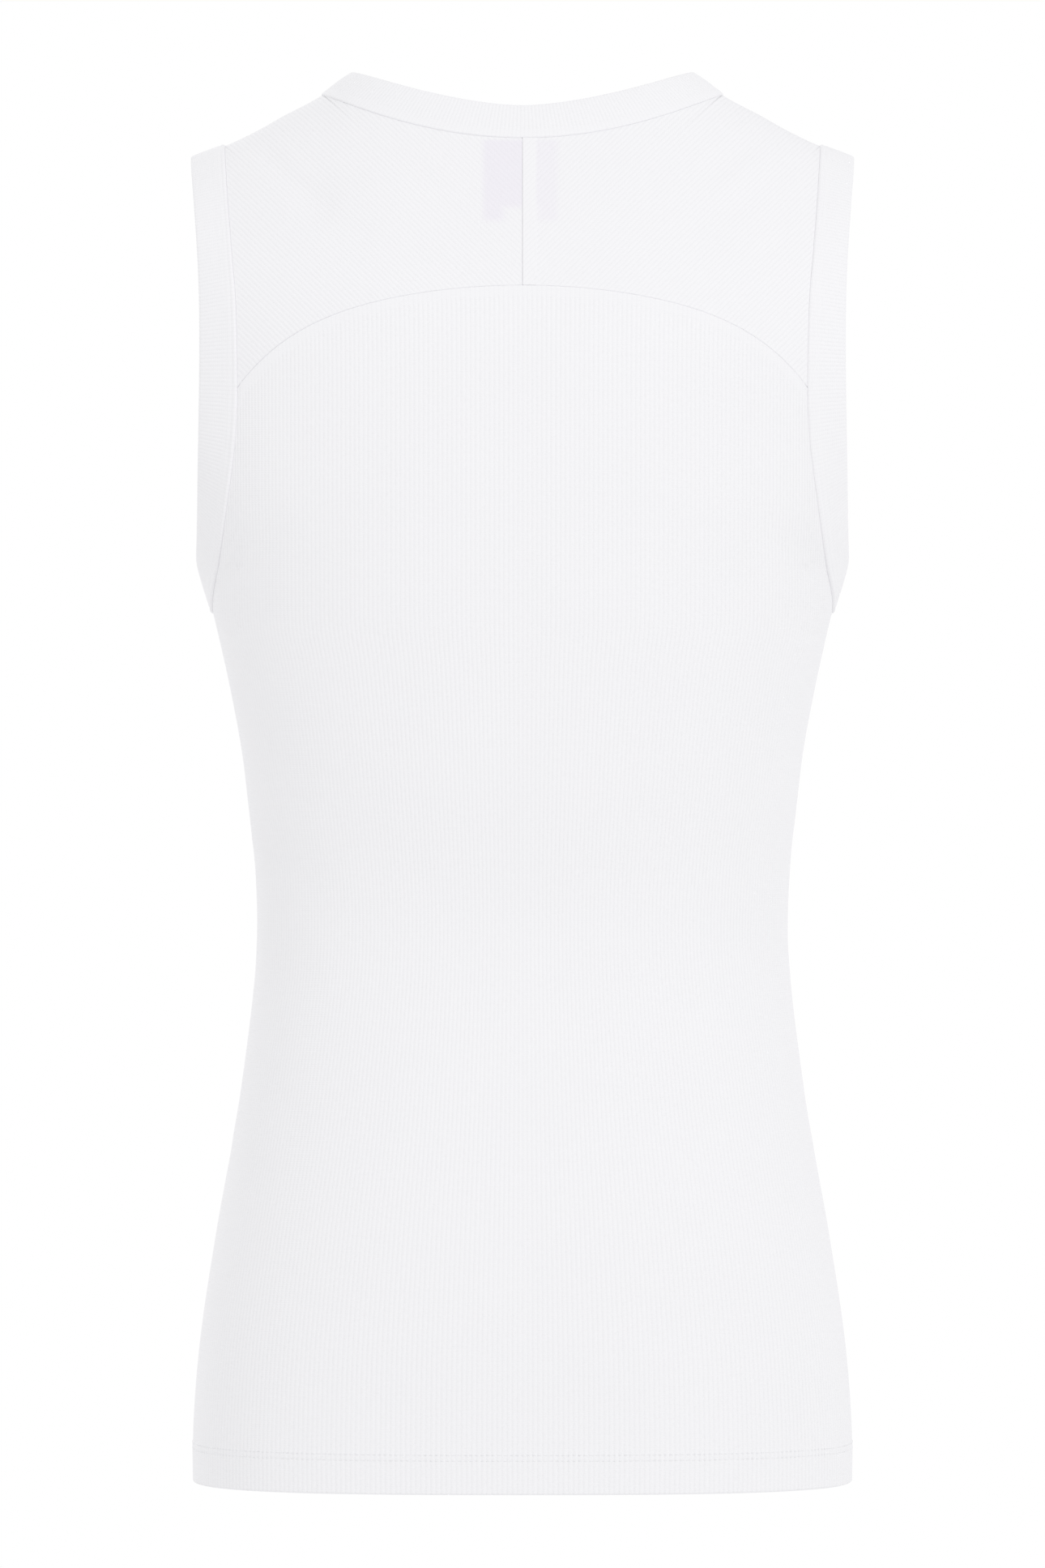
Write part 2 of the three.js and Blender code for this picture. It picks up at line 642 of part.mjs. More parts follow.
function frontPanel() {
  const cloth = new Cloth();
  const corner = shareOf(FRONT, CORNER_X);
  const neckSide = shareOf(FRONT, NECK_SIDE_X / fanAt(NECK_SIDE_HEIGHT));
  const plan = columnsBetween(FRONT, [
    { share: 0, ribs: RIBS_TO_NECK_SIDE },
    { share: neckSide, ribs: RIBS_TO_CORNER },
    { share: corner, ribs: RIBS_TO_SIDE },
    { share: 1 },
  ]);
  const first = RIBS_TO_SIDE * COLUMNS_A_RIB;
  const final = plan.length - 1 - first;
  const isUpper = (i) => i >= first && i <= final;
  const lower = plan.map((column, i) => {
    const top = isUpper(i) ? YOKE_CORNER_HEIGHT : meets(column, ARMPIT_HEIGHT, HIGHEST, pastArmhole);
    return lowerColumn(FRONT, column, top);
  });
  const upper = plan.slice(first, final + 1).map((column, i) => {
    const isEdge = i === 0 || i === final - first;
    const top = isEdge ? SHOULDER_TIP.height : meets(column, YOKE_CORNER_HEIGHT, HIGHEST, pastTop);
    return upperColumn(column, last(lower[first + i]), top, isEdge ? ARMHOLE_ROWS : UPPER_ROWS);
  });
  const neckColumn = RIBS_TO_CORNER * COLUMNS_A_RIB;
  const heads = [];
  heads[neckColumn] = neckSideVertices(-1).toReversed();
  heads[upper.length - 2 - neckColumn] = neckSideVertices(1);
  const lowerHeads = armholeHeads(FRONT, lower, first);
  const rightArmhole = [...upperEdge(lower.slice(final), lowerHeads.slice(final)), ...last(upper).slice(1)];
  const leftArmhole = [
    ...upper[0].slice(1).toReversed(),
    ...upperEdge(lower.slice(0, first + 1), lowerHeads.slice(0, first)),
  ];
  const top = upperEdge(upper, heads);
  pullBack(last(lower));
  pullBack(rightArmhole);
  pullBack(top.slice(0, neckColumn + 1));
  pullBack(top.slice(neckColumn, -neckColumn));
  pullBack(top.slice(-neckColumn - 1));
  pullBack(leftArmhole);
  pullBack(lower[0].toReversed());
  const keeps = keepsBeside(first, lower.length);
  cloth.panel(lower, {
    keeps,
    heads: lowerHeads,
    fineFeet: () => false,
    fineHeads: (i) => i <= first || i > final,
  });
  cloth.panel(upper, { keeps: keepsColumn, heads, fineFeet: () => false });
  finishPanel(cloth, lower, [...rightArmhole, ...top.slice(1, -1), ...leftArmhole], keeps);
  return cloth.geometry();
}

// The yoke
// Its ribs lie on the bias, so its columns are slanting lines: height = slant * x + lift. They run from the
// arch or the centre seam up and out to the armhole, the shoulder or the neck. One passes through both the
// neck side and the centre of the arch.

const SLANT = (NECK_SIDE_HEIGHT - YOKE_CENTRE_HEIGHT) / NECK_SIDE_X;
const LOWEST_LIFT = YOKE_CORNER_HEIGHT - SLANT * CORNER_X;
const TIP_LIFT = SHOULDER_TIP.height - SLANT * SHOULDER_TIP.x;
const YOKE_STOPS = [LOWEST_LIFT, TIP_LIFT, YOKE_CENTRE_HEIGHT, NECK_BACK_HEIGHT];

// Where f, which rises, is nought.
function rootOf(f, from, to) {
  let low = from;
  let high = to;
  for (let turn = 0; turn < HALVINGS; turn += 1) {
    const middle = (low + high) / 2;
    if (f(middle) > 0) high = middle;
    else low = middle;
  }
  return (low + high) / 2;
}

function yokeTop(lift) {
  if (lift < TIP_LIFT) {
    const height = rootOf((h) => (h - lift) / SLANT - armholeAt(h), YOKE_CORNER_HEIGHT, SHOULDER_TIP.height);
    return { x: armholeAt(height), height };
  }
  const line = lift > YOKE_CENTRE_HEIGHT ? neckBackAt : shoulderAt;
  const [from, to] = lift > YOKE_CENTRE_HEIGHT ? [0, NECK_SIDE_X] : [NECK_SIDE_X, SHOULDER_TIP.x];
  const x = rootOf((at) => SLANT * at + lift - line(at), from, to);
  return { x, height: line(x) };
}

function yokeFoot(lift) {
  if (lift >= YOKE_CENTRE_HEIGHT) return { x: 0, height: lift };
  const x = rootOf((at) => SLANT * at + lift - archAt(at), 0, CORNER_X);
  return { x, height: archAt(x) };
}

function yokeColumn(lift, rise) {
  const foot = yokeFoot(lift);
  const top = yokeTop(lift);
  const at = (share) =>
    vertexOn(
      BACK,
      foot.x + (top.x - foot.x) * share,
      foot.height + (top.height - foot.height) * share,
      rise,
    );
  if (lift === LOWEST_LIFT || lift === NECK_BACK_HEIGHT) return [at(0)];
  const run = [{ share: 0, length: 0 }];
  let before = at(0).place;
  for (let i = 1; i <= COLUMN_SAMPLES; i += 1) {
    const share = 1 - (1 - i / COLUMN_SAMPLES) ** 2;
    const { place } = at(share);
    run.push({ share, length: last(run).length + place.distanceTo(before) });
    before = place;
  }
  const rows = Math.max(1, Math.round(last(run).length / YOKE_ROW_LENGTH));
  const shareAt = curveThrough(run, "length", "share");
  const lengths = countTo(rows).map((row) => last(run).length * (1 - (1 - row / rows) ** ROW_CROWDING));
  return lengths.map((length, row) => at(row === 0 ? 0 : row === rows ? 1 : shareAt(length)));
}

function yokePanel() {
  const cloth = new Cloth();
  const whole = NECK_BACK_HEIGHT - LOWEST_LIFT;
  const lifts = [];
  const corners = [];
  for (let zone = 0; zone < YOKE_STOPS.length - 1; zone += 1) {
    const width = YOKE_STOPS[zone + 1] - YOKE_STOPS[zone];
    const count = COLUMNS_A_RIB * Math.round((YOKE_RIBS * width) / whole);
    corners.push(lifts.length);
    for (let i = 0; i < count; i += 1) lifts.push(YOKE_STOPS[zone] + (width * i) / count);
  }
  lifts.push(NECK_BACK_HEIGHT);
  const [, tip, neckSide] = corners;
  const columns = lifts.map((lift, i) => yokeColumn(lift, i % COLUMNS_A_RIB === 0 ? -RIB_DEPTH : 0));
  const between = (lift) => {
    const top = yokeTop(lift);
    return vertexOn(BACK, top.x, top.height, -RIB_DEPTH / 2);
  };
  const heads = [];
  const tipStep = lifts[tip] - lifts[tip - 1];
  const neckStep = lifts[neckSide + 1] - lifts[neckSide];
  heads[tip - 1] = NECK_SIDE_STEPS.map((share) => between(lifts[tip] - tipStep * share));
  heads[neckSide] = NECK_SIDE_STEPS.toReversed().map((share) => between(lifts[neckSide] + neckStep * share));
  const feet = feetOf(columns);
  const tops = upperEdge(columns, heads);
  const neckPart = tops.indexOf(last(columns[neckSide]));
  const shoulderPart = tops.indexOf(last(columns[tip]));
  pullBack(feet.slice(0, neckSide + 1));
  pullBack(feet.slice(neckSide));
  pullBack(tops.slice(0, neckPart + 1));
  pullBack(tops.slice(neckPart, shoulderPart + 1));
  pullBack(tops.slice(shoulderPart));
  cloth.panel(columns, { keeps: keepsCurved, heads });
  cloth.edge(feet);
  cloth.edge(tops);
  return cloth.geometry();
}

// The bands
// A band runs from its seam on the body to its free edge, with its ribs across it. The rows of its cross
// section lie at these shares of its width, and the free edge is turned in, which stands for its fold.
const BAND_ROWS = [
  { share: 0, rise: 0, inside: BAND_WALL - WALL },
  { share: 0.45, rise: 0, inside: 0 },
  { share: 0.88, rise: -0.1, inside: 0.1 },
  { share: 1, rise: -0.7, inside: 0.5 },
];

// Even shares of a curve's own length, as values of what the curve is worked out from.
function evenAlong(curve, from, to, count) {
  const run = [{ at: from, length: 0 }];
  for (let i = 1; i <= BAND_SAMPLES; i += 1) {
    const at = from + ((to - from) * i) / BAND_SAMPLES;
    run.push({ at, length: last(run).length + curve(at).distanceTo(curve(last(run).at)) });
  }
  const atLength = curveThrough(run, "length", "at");
  return countTo(count).map((i) => (i === count ? to : atLength((last(run).length * i) / count)));
}

// One stretch of a band: the seam's vertices and the free edge's places, both at even shares.
function bandStretch(seam, edge, from, to, ribs) {
  const count = ribs * COLUMNS_A_RIB;
  const seamAt = evenAlong((at) => seam(at).place, from, to, count);
  const edgeAt = evenAlong(edge, from, to, count);
  return countTo(count)
    .slice(0, -1)
    .map((i) => ({ foot: seam(seamAt[i]), edge: edge(edgeAt[i]) }));
}

function bandLoop(stretches) {
  const pairs = stretches.flat();
  const columns = pairs.map(({ foot, edge }, i) => {
    const before = pairs[(i - 1 + pairs.length) % pairs.length];
    const after = pairs[(i + 1) % pairs.length];
    const across = edge.clone().sub(foot.place);
    const edgeOut = after.edge.clone().sub(before.edge).cross(across).normalize();
    const crest = i % COLUMNS_A_RIB === 0 ? 0 : RIB_DEPTH;
    return BAND_ROWS.map((row) => {
      const turn = Math.sqrt(row.share); // the way out turns soonest next to the seam
      const out = foot.out.clone().lerp(edgeOut, turn).normalize();
      const bulge = BAND_BULGE * Math.sin(Math.PI * row.share);
      const place = foot.place.clone().addScaledVector(across, row.share).addScaledVector(out, bulge);
      const rise = BAND_RISE - RIB_DEPTH + crest + row.rise;
      return { place, out, rise, inside: -BAND_WALL + row.inside, shift: new THREE.Vector3() };
    });
  });
  const cloth = new Cloth();
  pullBack(feetOf(columns), true);
  const closed = [...columns, columns[0]];
  cloth.panel(closed, { keeps: keepsColumn, fineHeads: () => false });
  cloth.edge(feetOf(closed));
  const tops = upperEdge(closed, []);
  cloth.edge(tops, tops.filter((_, i) => keepsColumn(i)));
  return cloth.geometry();
}

function neckband() {
  const seam = (side) => (turn) => {
    const x = NECK_SIDE_X * Math.sin((turn * Math.PI) / 2);
    return vertexOn(side, x, side === BACK ? neckBackAt(x) : neckFrontAt(x));
  };
  const edge = (side) => (turn) => {
    const share = Math.abs(Math.sin((turn * Math.PI) / 2));
    const x = NECK_EDGE_X * share * Math.sign(turn);
    const top = shoulderAt(NECK_EDGE_X);
    const height =
      side === BACK
        ? neckHeight(NECK_EDGE_BACK_HEIGHT, top, share, NECK_EDGE_BACK_POWER)
        : neckHeight(NECK_EDGE_FRONT_HEIGHT, top, share, NECK_FRONT_POWER);
    return vertexOn(side, x, height).place;
  };
  return bandLoop([
    bandStretch(seam(BACK), edge(BACK), 1, -1, NECKBAND_RIBS.back),
    bandStretch(seam(FRONT), edge(FRONT), -1, 1, NECKBAND_RIBS.front),
  ]);
}

function armband() {
  const seam = (side) => (turn) => armholeVertex(side, 1, turn);
  // The front stands out less than the back by the same share as its panel does.
  const edge = (side) => {
    const points = ARMBAND_EDGE.map(
      ({ height, x, back }) =>
        new THREE.Vector3(x, (side * back * bulgeAt(side, height)) / backAt(height), height - CARRY_HEIGHT),
    );
    const beyond = (point) => point.clone().multiply(new THREE.Vector3(1, -1, 1));
    const curve = new THREE.CatmullRomCurve3([
      beyond(points[1]),
      ...points,
      beyond(points[points.length - 2]),
    ]);
    const spans = points.length + 1;
    return (turn) => curve.getPoint((1 + turn * (points.length - 1)) / spans);
  };
  return bandLoop([
    bandStretch(seam(BACK), edge(BACK), 0, 1, ARMBAND_RIBS.back),
    bandStretch(seam(FRONT), edge(FRONT), 1, 0, ARMBAND_RIBS.front),
  ]);
}

// The blank label inside the yoke, just below the neck seam
const LABEL = { x: 1.9, width: 40, top: 688.5, height: 38, thickness: 1, gap: 0.7, columns: 8, rows: 6 };

function neckLabel() {
  const face = -WALL - LABEL.gap;
  const columns = countTo(LABEL.columns).map((column) =>
    countTo(LABEL.rows).map((row) => {
      const x = LABEL.x + LABEL.width * (0.5 - column / LABEL.columns);
      const height = LABEL.top - LABEL.height * (1 - row / LABEL.rows);
      const y = standOut(BACK, x, height);
      return vertexAt(BACK, x, y, height, face, face - LABEL.thickness);
    }),
  );
  const cloth = new Cloth();
  cloth.panel(columns, {});
  cloth.edge(feetOf(columns));
  cloth.edge(last(columns));
  cloth.edge(upperEdge(columns, []));
  cloth.edge(columns[0].toReversed());
  return cloth.geometry();
}

// The same piece for the wearer's other side.
function mirrored(geometry) {
  const copy = geometry.clone();
  copy.scale(-1, 1, 1);
  const index = Array.from(geometry.index.array);
  const turned = index.map((_, i) => index[i - (i % 3) + 2 - (i % 3)]);
  copy.setIndex(turned);
  return copy;
}

const plain = { metalness: 0, flatShading: true };
const cotton = new THREE.MeshStandardMaterial({ ...plain, color: 0xf4f4f6, roughness: 0.92 });
const tape = new THREE.MeshStandardMaterial({ ...plain, color: 0xe6e4ec, roughness: 0.7 });

function named(name, geometry, material) {
  const mesh = new THREE.Mesh(geometry, material);
  mesh.name = name;
  return mesh;
}

const yoke = yokePanel();
const armhole = armband();
const tankTop = new THREE.Group();
tankTop.add(
  named("front", frontPanel(), cotton),
  named("back", backPanel(), cotton),
  named("yoke_left", yoke, cotton),
  named("yoke_right", mirrored(yoke), cotton),
  named("neckband", neckband(), cotton),
  named("armband_left", armhole, cotton),
  named("armband_right", mirrored(armhole), cotton),
  named("neck_label", neckLabel(), tape),
);

export default tankTop;
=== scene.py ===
# A white ribbed tank top, filled out as if worn and seen from behind.
# Sizes are in millimetres until a mesh is made. Heights are measured up from the hem.
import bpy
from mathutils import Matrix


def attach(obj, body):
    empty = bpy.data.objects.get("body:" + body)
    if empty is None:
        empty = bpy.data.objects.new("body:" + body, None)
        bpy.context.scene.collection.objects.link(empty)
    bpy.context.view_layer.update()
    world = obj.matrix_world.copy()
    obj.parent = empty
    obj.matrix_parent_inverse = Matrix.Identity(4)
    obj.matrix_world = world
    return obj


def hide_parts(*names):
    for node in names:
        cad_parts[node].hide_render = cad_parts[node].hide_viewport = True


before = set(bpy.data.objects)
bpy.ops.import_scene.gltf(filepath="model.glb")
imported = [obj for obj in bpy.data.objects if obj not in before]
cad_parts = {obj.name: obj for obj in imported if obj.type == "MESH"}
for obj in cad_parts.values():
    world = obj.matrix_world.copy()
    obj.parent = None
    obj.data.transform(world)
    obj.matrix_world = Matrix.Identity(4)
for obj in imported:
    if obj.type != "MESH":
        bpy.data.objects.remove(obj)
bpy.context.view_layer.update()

import copy
import math

import bpy
import numpy as np
from mathutils import Vector

# Driving sizes, those of the garment as in the solids
METRES = 0.001
CARRY_HEIGHT = 701.5
ARMPIT_HEIGHT = 448.4
YOKE_CORNER_HEIGHT = 562
YOKE_CENTRE_HEIGHT = 613.1
CLOSING_HEIGHT = 580
CLOSING_POWER = 2.1
NECK_SIDE_X = 104
NECK_EDGE_X = 87.8
NECK_BACK_HEIGHT = 690.9
NECK_FRONT_HEIGHT = 617
NECK_EDGE_BACK_HEIGHT = 708.6
NECK_EDGE_FRONT_HEIGHT = 636.5
NECK_BACK_POWER = 2
NECK_FRONT_POWER = 2.6
NECK_EDGE_BACK_POWER = 1.65
LEAN_POWER = 4
ARCH_FLAT_SHARE = 0.588
ARCH_STEEP_POWER = 6
WALL = 1.6
HEM_TOP = 20  # where the hem's double cloth begins to step down,
HEM_STEP = 2  # and over how much height it does
HEM_RISE = 0.3
HEM_INSIDE = 0.9
BACK, FRONT = 1, -1

# Height, half breadth, how far the back and the front stand out, and how square the section is
SECTIONS = (
    (0, 170.3, 118, 105, 2.8),
    (30, 170.3, 119.5, 104, 2.75),
    (75, 166.6, 121.8, 102.5, 2.65),
    (130, 158.3, 118.5, 101, 2.55),
    (200, 146.1, 106, 99.5, 2.5),
    (285, 137.5, 92, 96, 2.5),
    (365, 143.8, 103.7, 105.7, 2.5),
    (405, 150.5, 108.5, 112, 2.5),
    (448.4, 160.2, 113.2, 117.6, 2.5),
    (470, 165.9, 114.4, 117.4, 2.5),
    (490, 174.6, 115.3, 116.5, 2.5),
    (513, 183, 116, 115, 2.5),
    (554, 193.4, 115, 107.5, 2.5),
    (580, 200, 113, 100, 2.5),
    (620, 206, 105, 88, 2.5),
    (660, 207, 88.4, 74.4, 2.5),
    (691, 206.5, 76, 62, 2.5),
    (730, 205, 63.6, 50, 2.5),
)
# The armhole seam: height and x
ARMHOLE = (
    (448.4, 160.2),
    (456.7, 159.5),
    (469.6, 156.6),
    (488.3, 153.1),
    (511.6, 149.5),
    (530.4, 146.9),
    (548, 145.6),
    (562, 145.2),
    (585, 145.5),
    (609.8, 146.5),
    (631.7, 148.6),
    (658.5, 151.2),
    (690.6, 154.1),
)
# The shoulder line: x and height
SHOULDER = (
    (0, 758),
    (40, 752.5),
    (70, 741),
    (87.8, 728.8),
    (104, 716.8),
    (124.3, 705.9),
    (137.8, 698.3),
    (154.1, 690.6),
    (172, 684),
)
# An armband's free edge: height, x, and how far it stands back
ARMBAND_EDGE = (
    (470.5, 167.4, 0),
    (476.5, 168.2, 28),
    (488, 167.6, 43),
    (503, 167, 55.5),
    (521, 166.5, 67),
    (545, 165.8, 76),
    (575, 165.2, 80),
    (600, 165.3, 78),
    (620, 166, 72),
    (640, 167.3, 62),
    (660, 169.2, 45.5),
    (677, 171.2, 22.5),
    (684.5, 172, 0),
)

# Soft troughs (depth above nought) and ridges (below): x and height at both ends, half width, depth.
# All are fine pulls of the cloth, and those of the yoke run down from the shoulders.
CREASES = {
    BACK: (
        (142, 691, 96, 652, 8, 2.3),
        (130, 701, 92, 664, 6, 0.7),
        (118, 660, 74, 634, 10, 1.1),
        (-129, 698, -84, 664, 8, 1.4),
        (-141, 684, -104, 650, 8, 1.2),
        (-118, 660, -74, 636, 10, 1.0),
        (148, 640, 118, 628, 6, 0.5),
        (-149, 646, -122, 630, 6, 0.5),
        (156, 466, 118, 496, 9, 0.9),
        (-157, 462, -112, 500, 10, 1.1),
        (158, 440, 120, 452, 8, 0.5),
        (-158, 436, -124, 450, 9, 0.6),
        (140, 330, 96, 306, 13, 0.9),
        (-141, 340, -92, 312, 14, 0.8),
        (-139, 268, -100, 282, 12, 0.7),
        (138, 252, 104, 270, 11, 0.6),
        (60, 298, -40, 290, 15, 0.5),
        (150, 170, 122, 196, 12, -0.6),
        (-150, 164, -118, 192, 12, -0.5),
    ),
    FRONT: (
        (128, 694, 96, 640, 8, 1.1),
        (-130, 694, -94, 636, 8, 1.2),
        (157, 468, 112, 490, 9, 1.0),
        (-156, 470, -116, 494, 9, 0.9),
        (158, 438, 122, 456, 8, 0.6),
        (-158, 442, -118, 452, 9, 0.6),
        (140, 322, 98, 300, 13, 0.8),
        (-140, 334, -90, 304, 14, 0.9),
        (138, 262, 100, 280, 12, 0.7),
        (-139, 258, -104, 276, 11, 0.6),
        (-50, 300, 46, 292, 15, 0.5),
        (-150, 168, -120, 194, 12, -0.5),
        (150, 172, 124, 198, 12, -0.5),
    ),
}

# Ribs
RIBS_TO_SIDE = 94  # across half a body panel
YOKE_RIB_PITCH = 2.15
BAND_RIB_PITCH = 2.15
COLUMNS_A_RIB = 4
RIB_TURN = 26
RIB_DEPTH = 0.24
YOKE_RIB_DEPTH = 0.2
NECKBAND_RIB_DEPTH = 0.22
ARMBAND_RIB_DEPTH = 0.16
RIB_FLATNESS = 0.6  # less makes a crest flatter and the valley between two ribs narrower
INSIDE_RIB_DEPTH = 0.2
SEAM_CALM = 1.2  # the ribs fade out over this distance next to a seam
STRIP_CALM = 0.86  # and lose this share of their depth where the cloth is double

# Seams and edges
EDGE_ROUND = 0.5  # a sewn edge turns in by this much over the same distance
ARM_EDGE_SHARE = 0.35  # and by this share of it at the armhole
ARM_EDGE_DEEP = 456  # but by the whole of it up to this height,
ARM_EDGE_SHALLOW = 500  # and between the two from there to here
FOLD_ROUND = 1
ALLOWANCE_RISE = 0.4
ALLOWANCE_END = 1.4
STRIP_END_SHARE = 0.985  # the strip beside the yoke seam fades from this share of the way to the armhole on
NECK_EDGE_SHARE = 0.45  # at the back neck, and more towards the shoulders, between these two x
NECK_EDGE_DEEPENS = (50, 96)
STITCH_DIP = 0.08
STITCH_DIP_WIDTH = 0.65
HEM_ROWS_OF_STITCHES = (17.4, 20.3)
YOKE_ALLOWANCE = 5.5
ALLOWANCE_TOP = 1  # beside the yoke seam the strip is like a roll, which is highest up to here
ALLOWANCE_FALL = 0.7  # and loses this share of its height from there to its end
CENTRE_ALLOWANCE = 7
NECK_ALLOWANCE = 4.2
ARM_ALLOWANCE = 5.5

HEM_HEIGHTS = np.array((
    0, 0.25, 0.7, 1.3, 3, 6, 9.5, 13, 15.2, 16.2, 16.8, 17.4, 18, 18.7, 19.4, 20, 20.4, 21, 21.8, 24,
    29, 36,
))
EDGE_DISTANCES = np.array((0, 0.15, 0.35, 0.6, 1.2, 2.4, 4.4))
ARCH_DISTANCES = np.array((0, 0.15, 0.35, 0.6, 1.2, 2.2, 3.3, 4.4, 4.9, 5.3, 5.8, 6.4, 8))
STRIP_DISTANCES = np.array((0, 0.15, 0.35, 0.6, 1.2, 2.4, 4.4, 5.8, 6.4, 7, 7.6, 8.2, 9.4))
BACK_ROWS = 62
FRONT_ROWS = 46
FRONT_UPPER_ROWS = 26
YOKE_ROWS = 44
LEAST_SINE = 0.15
ROW_SINE = 0.4  # rows keep level with those of the next column also where a seam is steep
EVEN_COLUMNS = 17
LATE_POWER = 8
EDGE_ROOM = 0.6  # the rows near an edge take at most this share of a short column
END_ROOM = 0.8  # and those near its two ends this share
INSIDE_EVERY = 2  # the inside keeps one row and one column in two
WELD_DECIMALS = 4  # points of one piece that agree to so many decimals of a millimetre are one point

# Steps of the reckoning
HALVINGS = 45
SLOPE_STEP = 0.01
TINY = 1e-9
CURVE_STEPS = 1201
RUN_STEPS = 161


# Lengths, directions and curves
def run_of(points):
    """How far along a line of points each one lies, or along each column of a grid of them."""
    steps = np.linalg.norm(np.diff(points, axis=0), axis=-1)
    return np.concatenate((0 * steps[:1], np.cumsum(steps, axis=0)))


def unit(vectors):
    return vectors / np.linalg.norm(vectors, axis=-1, keepdims=True)


def root_of(rising, low, high):
    """Where each of a row of rising functions is nought, by halving."""
    for _ in range(HALVINGS):
        middle = (low + high) / 2
        above = rising(middle) > 0
        high = np.where(above, middle, high)
        low = np.where(above, low, middle)
    return (low + high) / 2


def curve_through(rows, value):
    """A smooth curve of one column of a table against its first. It is cubic between rows, with the slope at
    a row that of the line between the rows on either side, and past the ends it runs on straight."""
    table = np.array(rows, float)
    along, values = table[:, 0], table[:, value]
    before = np.maximum(np.arange(len(along)) - 1, 0)
    after = np.minimum(np.arange(len(along)) + 1, len(along) - 1)
    slopes = (values[after] - values[before]) / (along[after] - along[before])

    def at(where):
        row = np.clip(np.searchsorted(along, where) - 1, 0, len(along) - 2)
        span = along[row + 1] - along[row]
        share = (where - along[row]) / span
        t = np.clip(share, 0, 1)
        blend = t * t * (3 - 2 * t)
        inside = values[row] * (1 - blend) + values[row + 1] * blend
        bend = span * t * (1 - t) * (slopes[row] * (1 - t) - slopes[row + 1] * t)
        return inside + bend + span * (share - t) * np.where(share < 0, slopes[row], slopes[row + 1])

    return at


# The cloth's outer face
breadth_at = curve_through(SECTIONS, 1)
back_at = curve_through(SECTIONS, 2)
front_at = curve_through(SECTIONS, 3)
power_at = curve_through(SECTIONS, 4)
armhole_at = curve_through(ARMHOLE, 1)
shoulder_at = curve_through(SHOULDER, 1)
CORNER_X = float(armhole_at(YOKE_CORNER_HEIGHT))
ARMPIT_X = float(armhole_at(ARMPIT_HEIGHT))
TIP_HEIGHT, TIP_X = ARMHOLE[-1]
HIGHEST = SHOULDER[0][1]  # above every place where a column of cloth ends
NECK_SIDE_HEIGHT = float(shoulder_at(NECK_SIDE_X))


def bulge_at(side, height):
    return back_at(height) if side == BACK else front_at(height)


def closing_rise(x, height):
    return (height - CLOSING_HEIGHT) / (shoulder_at(np.abs(x)) - CLOSING_HEIGHT)


def stand_out(side, x, height):
    """How far the outer face lies from the Y = 0 plane. Each section is a superellipse, bulge times
    (1 - (x / breadth) ^ power) ^ (1 / power), and above CLOSING_HEIGHT the face also rounds over to the
    shoulder line, times (1 - rise ^ CLOSING_POWER) ^ (1 / CLOSING_POWER)."""
    power = power_at(height)
    across = np.maximum(0, 1 - (np.abs(x) / breadth_at(height)) ** power) ** (1 / power)
    closure = np.clip(closing_rise(x, height), 0, 1) ** CLOSING_POWER
    return bulge_at(side, height) * across * (1 - closure) ** (1 / CLOSING_POWER)


def outside_by(side, x, y, height, closing):
    """Nought on the outer face and more outside it, in the form that is smooth where the point lies."""
    power = power_at(height)
    across = (np.abs(x) / breadth_at(height)) ** power
    bulge = bulge_at(side, height)
    plain = across + (np.abs(y) / bulge) ** power - 1
    flat = bulge * np.maximum(1 - across, TINY) ** (1 / power)
    rise = np.maximum(closing_rise(x, height), 0)
    return np.where(closing, (np.abs(y) / flat) ** CLOSING_POWER + rise**CLOSING_POWER - 1, plain)


def way_out(side, x, y, height):
    """The outward direction: the slope of outside_by along each axis, from a small step either way."""
    step = SLOPE_STEP
    closing = height > CLOSING_HEIGHT
    slopes = [
        outside_by(side, x + dx, y + dy, height + dz, closing)
        - outside_by(side, x - dx, y - dy, height - dz, closing)
        for dx, dy, dz in ((step, 0, 0), (0, step, 0), (0, 0, step))
    ]
    return unit(np.stack(slopes, axis=-1))


def crease_at(side, x, height):
    """The sum of the creases: across each one exp(-(aside / width) ^ 2), and along it 1 - (2 t - 1) ^ 2."""
    total = np.zeros(np.broadcast(x, height).shape)
    for from_x, from_height, to_x, to_height, width, depth in CREASES[side]:
        run_x, run_height = to_x - from_x, to_height - from_height
        length = math.hypot(run_x, run_height)
        along = ((x - from_x) * run_x + (height - from_height) * run_height) / length**2
        aside = ((x - from_x) * run_height - (height - from_height) * run_x) / length
        taper = 1 - np.clip(np.abs(2 * along - 1), 0, 1) ** 2
        total -= depth * taper * np.exp(-((aside / width) ** 2))
    return total


class Face:
    """Places on the outer face with their outward directions. at(offset) gives the points that far out."""

    def __init__(self, side, x, y, height):
        self.out = way_out(side, x, y, height)
        height = np.broadcast_to(height, np.shape(x))
        base = np.stack((x, y, height - CARRY_HEIGHT), axis=-1)
        self.place = base + self.out * crease_at(side, x, height)[..., None]

    def at(self, offset):
        return self.place + self.out * np.asarray(offset)[..., None]


def face_at(side, x, height):
    return Face(side, x, side * stand_out(side, x, height), height)


# Lines on the face
def arch_at(x):
    share = np.abs(x) / CORNER_X
    drop = YOKE_CENTRE_HEIGHT - YOKE_CORNER_HEIGHT
    steep = (1 - ARCH_FLAT_SHARE) * share**ARCH_STEEP_POWER
    return YOKE_CENTRE_HEIGHT - drop * (ARCH_FLAT_SHARE * share**2 + steep)


def neck_line(low, top, half, power):
    return lambda x: low + (top - low) * (np.abs(x) / half) ** power


